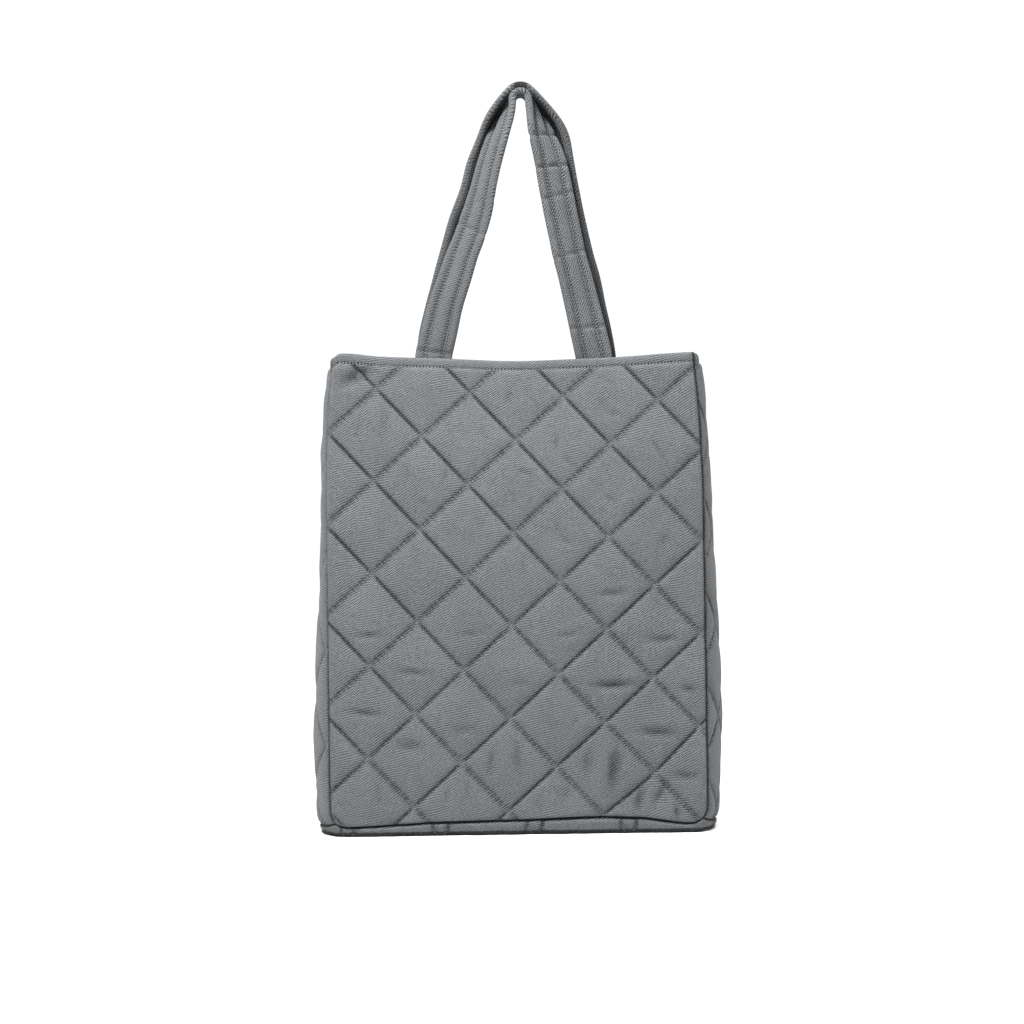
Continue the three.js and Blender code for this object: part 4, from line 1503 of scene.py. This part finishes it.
@dataclass
class Stitching:
    """Rows of stitches along paths on the cloth, in millimetres."""

    name: str
    slot: str
    pitch: float = 3.0
    length: float = 2.3
    breadth: float = 0.55
    depth: float = 0.4
    sizes: tuple[float, float] = (0.85, 1.1)
    thread: Thread = Thread()

    def tree(self) -> bpy.types.NodeTree:
        """A tree that lays a stitch at every pitch along the paths, turned to the cloth."""
        tree = bpy.data.node_groups.new(self.name, "GeometryNodeTree")
        tree.interface.new_socket("Geometry", in_out="INPUT", socket_type="NodeSocketGeometry")
        for title in ("Pitch", "Length", "Breadth", "Depth"):
            tree.interface.new_socket(title, in_out="INPUT", socket_type="NodeSocketFloat")
        tree.interface.new_socket("Seed", in_out="INPUT", socket_type="NodeSocketInt")
        tree.interface.new_socket("Geometry", in_out="OUTPUT", socket_type="NodeSocketGeometry")
        nodes = Nodes(tree)
        start, end = nodes.add("NodeGroupInput"), nodes.add("NodeGroupOutput")
        given = start.outputs
        curve = nodes.fed("GeometryNodeMeshToCurve", {"Mesh": given["Geometry"]})
        values = {"Curve": curve.outputs[0], "Length": given["Pitch"]}
        resample = nodes.fed("GeometryNodeResampleCurve", values, mode="LENGTH")
        tangent = nodes.add("GeometryNodeInputTangent")
        facing = nodes.fed("GeometryNodeInputNamedAttribute", {"Name": "facing"}, data_type="FLOAT_VECTOR")
        along = nodes.fed("FunctionNodeAlignRotationToVector", {"Vector": tangent.outputs[0]}, axis="X")
        values = {"Rotation": along.outputs[0], "Vector": facing.outputs["Attribute"]}
        turned = nodes.fed("FunctionNodeAlignRotationToVector", values, axis="Z", pivot_axis="X")
        ball = nodes.fed("GeometryNodeMeshIcoSphere", {"Radius": 0.5, "Subdivisions": 1})
        smooth = nodes.fed("GeometryNodeSetShadeSmooth", {"Geometry": ball.outputs["Mesh"]})
        values = {"X": given["Length"], "Y": given["Breadth"], "Z": given["Depth"]}
        size = nodes.fed("ShaderNodeCombineXYZ", values)
        vary = nodes.fed("FunctionNodeRandomValue", {"Seed": given["Seed"]}, data_type="FLOAT")
        low, high = [s for s in vary.inputs if s.name in ("Min", "Max") and s.enabled]
        low.default_value, high.default_value = self.sizes
        values = {"Vector": size.outputs[0], "Scale": next(s for s in vary.outputs if s.enabled)}
        scale = nodes.fed("ShaderNodeVectorMath", values, operation="SCALE")
        values = {
            "Points": resample.outputs[0],
            "Instance": smooth.outputs[0],
            "Rotation": turned.outputs[0],
            "Scale": scale.outputs[0],
        }
        instances = nodes.fed("GeometryNodeInstanceOnPoints", values)
        real = nodes.fed("GeometryNodeRealizeInstances", {"Geometry": instances.outputs[0]})
        values = {"Geometry": real.outputs[0], "Material": self.thread.material()}
        paint = nodes.fed("GeometryNodeSetMaterial", values)
        nodes.feed(end.inputs[0], paint.outputs[0])
        return tree

    def build(self, paths: Iterable[tuple[Array, Array]]) -> bpy.types.Object:
        """Lays the stitches.

        Args:
            paths: places in millimetres along each row, with the cloth's directions there.

        Returns:
            The stitches as one object.
        """
        places, facings, edges = [], [], []
        for points, out in paths:
            start = sum(len(part) for part in places)
            edges += [(start + n, start + n + 1) for n in range(len(points) - 1)]
            places.append(points * MM)
            facings.append(out)
        guide = bpy.data.meshes.new(self.name)
        guide.from_pydata(np.concatenate(places).tolist(), edges, [])
        held = guide.attributes.new("facing", "FLOAT_VECTOR", "POINT")
        held.data.foreach_set("vector", np.concatenate(facings).astype(np.float32).ravel())
        row = linked(self.name, guide)
        modifier = row.modifiers.new("stitches", "NODES")
        tree = self.tree()
        inputs = {s.name: s.identifier for s in tree.interface.items_tree if s.in_out == "INPUT"}
        modifier.node_group = tree
        sizes = {"Pitch": self.pitch, "Length": self.length, "Breadth": self.breadth, "Depth": self.depth}
        for title, value in sizes.items():
            modifier[inputs[title]] = value * MM
        modifier[inputs["Seed"]] = SEED
        view = bpy.context.evaluated_depsgraph_get()
        mesh = bpy.data.meshes.new_from_object(row.evaluated_get(view))
        bpy.data.objects.remove(row)
        stitches = linked(self.name, mesh)
        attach(stitches, "root")
        return stitches


@dataclass
class Bag:
    """The whole bag."""

    shell: Finish = Finish("shell twill", "shell_fabric", 0.45)
    # The base's cloth gets a painted contact shadow along its bottom edge.
    sole: Finish = Finish("base twill", "shell_fabric", 0.45, contact_shadow_height=0.0044)
    webbing: Finish = Finish(
        "strap twill",
        "handle_fabric",
        0.6,
        colour=(0.067, 0.0708, 0.0744),
        quilted=False,
        half_width=0.0163,
        row=0.0076,
        row_breadth=0.0021,
        # Painted shade along the strap's stitched rows.
        hole_shadow_paint=0.62,
        contrast=0.42,
        turn=22,
    )

    def body(self) -> list[QuiltedPiece]:
        """The bag's quilted pieces."""
        wide = dict(surface=BAG.panel, view=View.WIDE, width=BAG.panel_width, height=BAG.cloth_height)
        narrow = dict(view=View.NARROW, width=BAG.base_depth, height=BAG.cloth_height)

        def swollen(side: str) -> Surface:
            """A gusset's surface by its side."""
            return lambda u, v, inset: BAG.gusset(side, u, v, inset)

        return [
            QuiltedPiece(
                "front_panel",
                Quilting(
                    across=-0.116,
                    up=0.263,
                    fall=3.1,
                    lean=2.0,
                    nudges=((115, 52, 3.4, -1.8, 45), (163, 10, 8, -8, 14)),
                ),
                dents=FRONT_DENTS,
                seam_sinks=(0.2, 3.0, 2.4),
                painted_seam_shades=(0.6, 1.0, 0.9),
                fading=-1,
                turning=0.9,
                **wide,
            ),
            QuiltedPiece(
                "back_panel",
                Quilting(across=0.3, up=0.44, fall=-1.2, lean=0.5),
                turned=True,
                seed=SEED + 1,
                **wide,
            ),
            QuiltedPiece(
                "right_gusset",
                Quilting(across=-0.34, up=0.21),
                surface=swollen("right"),
                seam_sinks=(2.4, 0.5, 0.8),
                painted_seam_shades=(1.0, 0.7, 0.8),
                turning=3.5,
                seed=SEED + 2,
                **narrow,
            ),
            QuiltedPiece(
                "left_gusset",
                Quilting(across=0.62, up=0.98),
                surface=swollen("left"),
                turned=True,
                fading=1,
                turning=3.0,
                seed=SEED + 3,
                **narrow,
            ),
            Base(
                "base",
                Quilting(across=0.162, up=0.265),
                surface=BAG.base,
                view=View.FLAT,
                width=BAG.panel_width,
                height=BAG.base_depth,
                hemmed=False,
            ),
        ]

    def straps(self) -> list[Strap]:
        """The bag's two straps."""
        front = Strap(
            "front_handle",
            FRONT_LEGS,
            side=-1,
            spacing=142.5,
            shift=0.8,
            radius=8.5,
            arc=60,
            creases=FRONT_CREASES,
        )
        back = Strap(
            "back_handle",
            BACK_LEGS,
            side=1,
            spacing=150,
            shift=3,
            radius=13,
            arc=50,
            before=front,
            seed=SEED + 1,
        )
        return [front, back]

    def build(self) -> None:
        """Builds every piece and its stitches."""
        pieces = [(piece, self.sole if isinstance(piece, Base) else self.shell) for piece in self.body()]
        pieces += [(strap, self.webbing) for strap in self.straps()]
        for piece, finish in pieces:
            cloth = piece.build(finish)
            rows = Stitching(piece.name + "_stitches", finish.slot).build(piece.stitches())
            for made in (cloth, rows):
                LOG.info("%s: %d faces", made.name, len(made.data.polygons))


@dataclass
class Studio:
    """A pale floor, a white room, soft light from the upper left and the camera."""

    camera_place: tuple[float, float, float] = (-0.00266, -2.558, 0.2841)
    lens: float = 100.0
    roll: float = 0.8
    backdrop: float = 1.05
    ambient: float = 0.25
    aim: tuple[float, float, float] = (0, 0, 0.25)
    floor_reach: float = 14.0
    floor_shades: tuple[float, float] = (0.75, 0.78)

    def camera(self) -> None:
        """Puts the camera where the photograph was taken from."""
        data = bpy.data.cameras.new("camera")
        data.lens, data.sensor_width = self.lens, 36.0
        camera = linked("camera", data)
        camera.location = self.camera_place
        camera.rotation_euler = (math.radians(90), math.radians(self.roll), 0)
        bpy.context.scene.camera = camera

    def room(self) -> None:
        """A world that is white to the camera and softer as light."""
        world = bpy.data.worlds.new("room")
        bpy.context.scene.world = world
        world.use_nodes = True
        nodes = Nodes(world.node_tree)
        back = world.node_tree.nodes["Background"]
        back.inputs["Color"].default_value = (1, 1, 1, 1)
        seen = nodes.add("ShaderNodeLightPath").outputs["Is Camera Ray"]
        strength = nodes.math("MULTIPLY_ADD", seen, self.backdrop - self.ambient, self.ambient)
        nodes.feed(back.inputs["Strength"], strength)

    def lamp(self, name: str, place: Sequence[float], size: float, power: float) -> None:
        """A square soft light that faces the bag.

        Args:
            name: its name.
            place: where it hangs, in metres.
            size: its side, in metres.
            power: its power in watts.
        """
        data = bpy.data.lights.new(name, "AREA")
        data.size, data.energy = size, power
        lamp = linked(name, data)
        lamp.location = place
        way = np.array(self.aim) - np.array(place)
        flat = math.hypot(way[0], way[1])
        lamp.rotation_euler = (math.atan2(flat, -way[2]), 0, math.atan2(way[1], way[0]) - math.pi / 2)

    def sky(self, toward: Sequence[float], strength: float, spread: float) -> None:
        """A broad light from far off that reaches the whole floor alike.

        Args:
            toward: the way to the light.
            strength: its power for each square metre.
            spread: how wide it looks, in degrees.
        """
        data = bpy.data.lights.new("sky", "SUN")
        data.energy, data.angle = strength, math.radians(spread)
        sky = linked("sky", data)
        x, y, z = toward
        sky.rotation_euler = (math.atan2(-y, math.hypot(x, z)), math.atan2(x, z), 0)

    def floor(self) -> None:
        """A pale matt floor."""
        mesh = bpy.data.meshes.new("floor")
        far = self.floor_reach
        mesh.from_pydata([(-far, -far, 0), (far, -far, 0), (far, far, 0), (-far, far, 0)], [], [(0, 1, 2, 3)])
        floor = linked("floor", mesh)
        material, nodes, shader = new_material("pale floor")
        mottle = nodes.noise(nodes.add("ShaderNodeTexCoord").outputs["Object"], 3.0)
        low, high = ((shade,) * 3 + (1,) for shade in self.floor_shades)
        nodes.feed(shader.inputs["Base Color"], nodes.mix(mottle, low, high))
        shader.inputs["Roughness"].default_value = 0.8
        mesh.materials.append(material)

    def build(self) -> None:
        """Sets the whole studio."""
        self.camera()
        self.room()
        self.floor()
        self.sky((0.2, -0.14, 1), strength=3.9, spread=22)
        self.lamp("key", (-0.55, -0.85, 1.75), size=0.4, power=75)
        self.lamp("fill", (2.0, -1.6, 0.5), size=1.2, power=14)
        scene = bpy.context.scene
        scene.view_settings.view_transform = "Standard"
        scene.view_settings.look = "None"


def main() -> None:
    """Builds the studio and the bag."""
    logging.basicConfig(level=logging.INFO, format="%(name)s: %(message)s")
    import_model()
    Studio().build()
    Bag().build()
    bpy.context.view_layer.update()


if __name__ == "__main__":
    main()
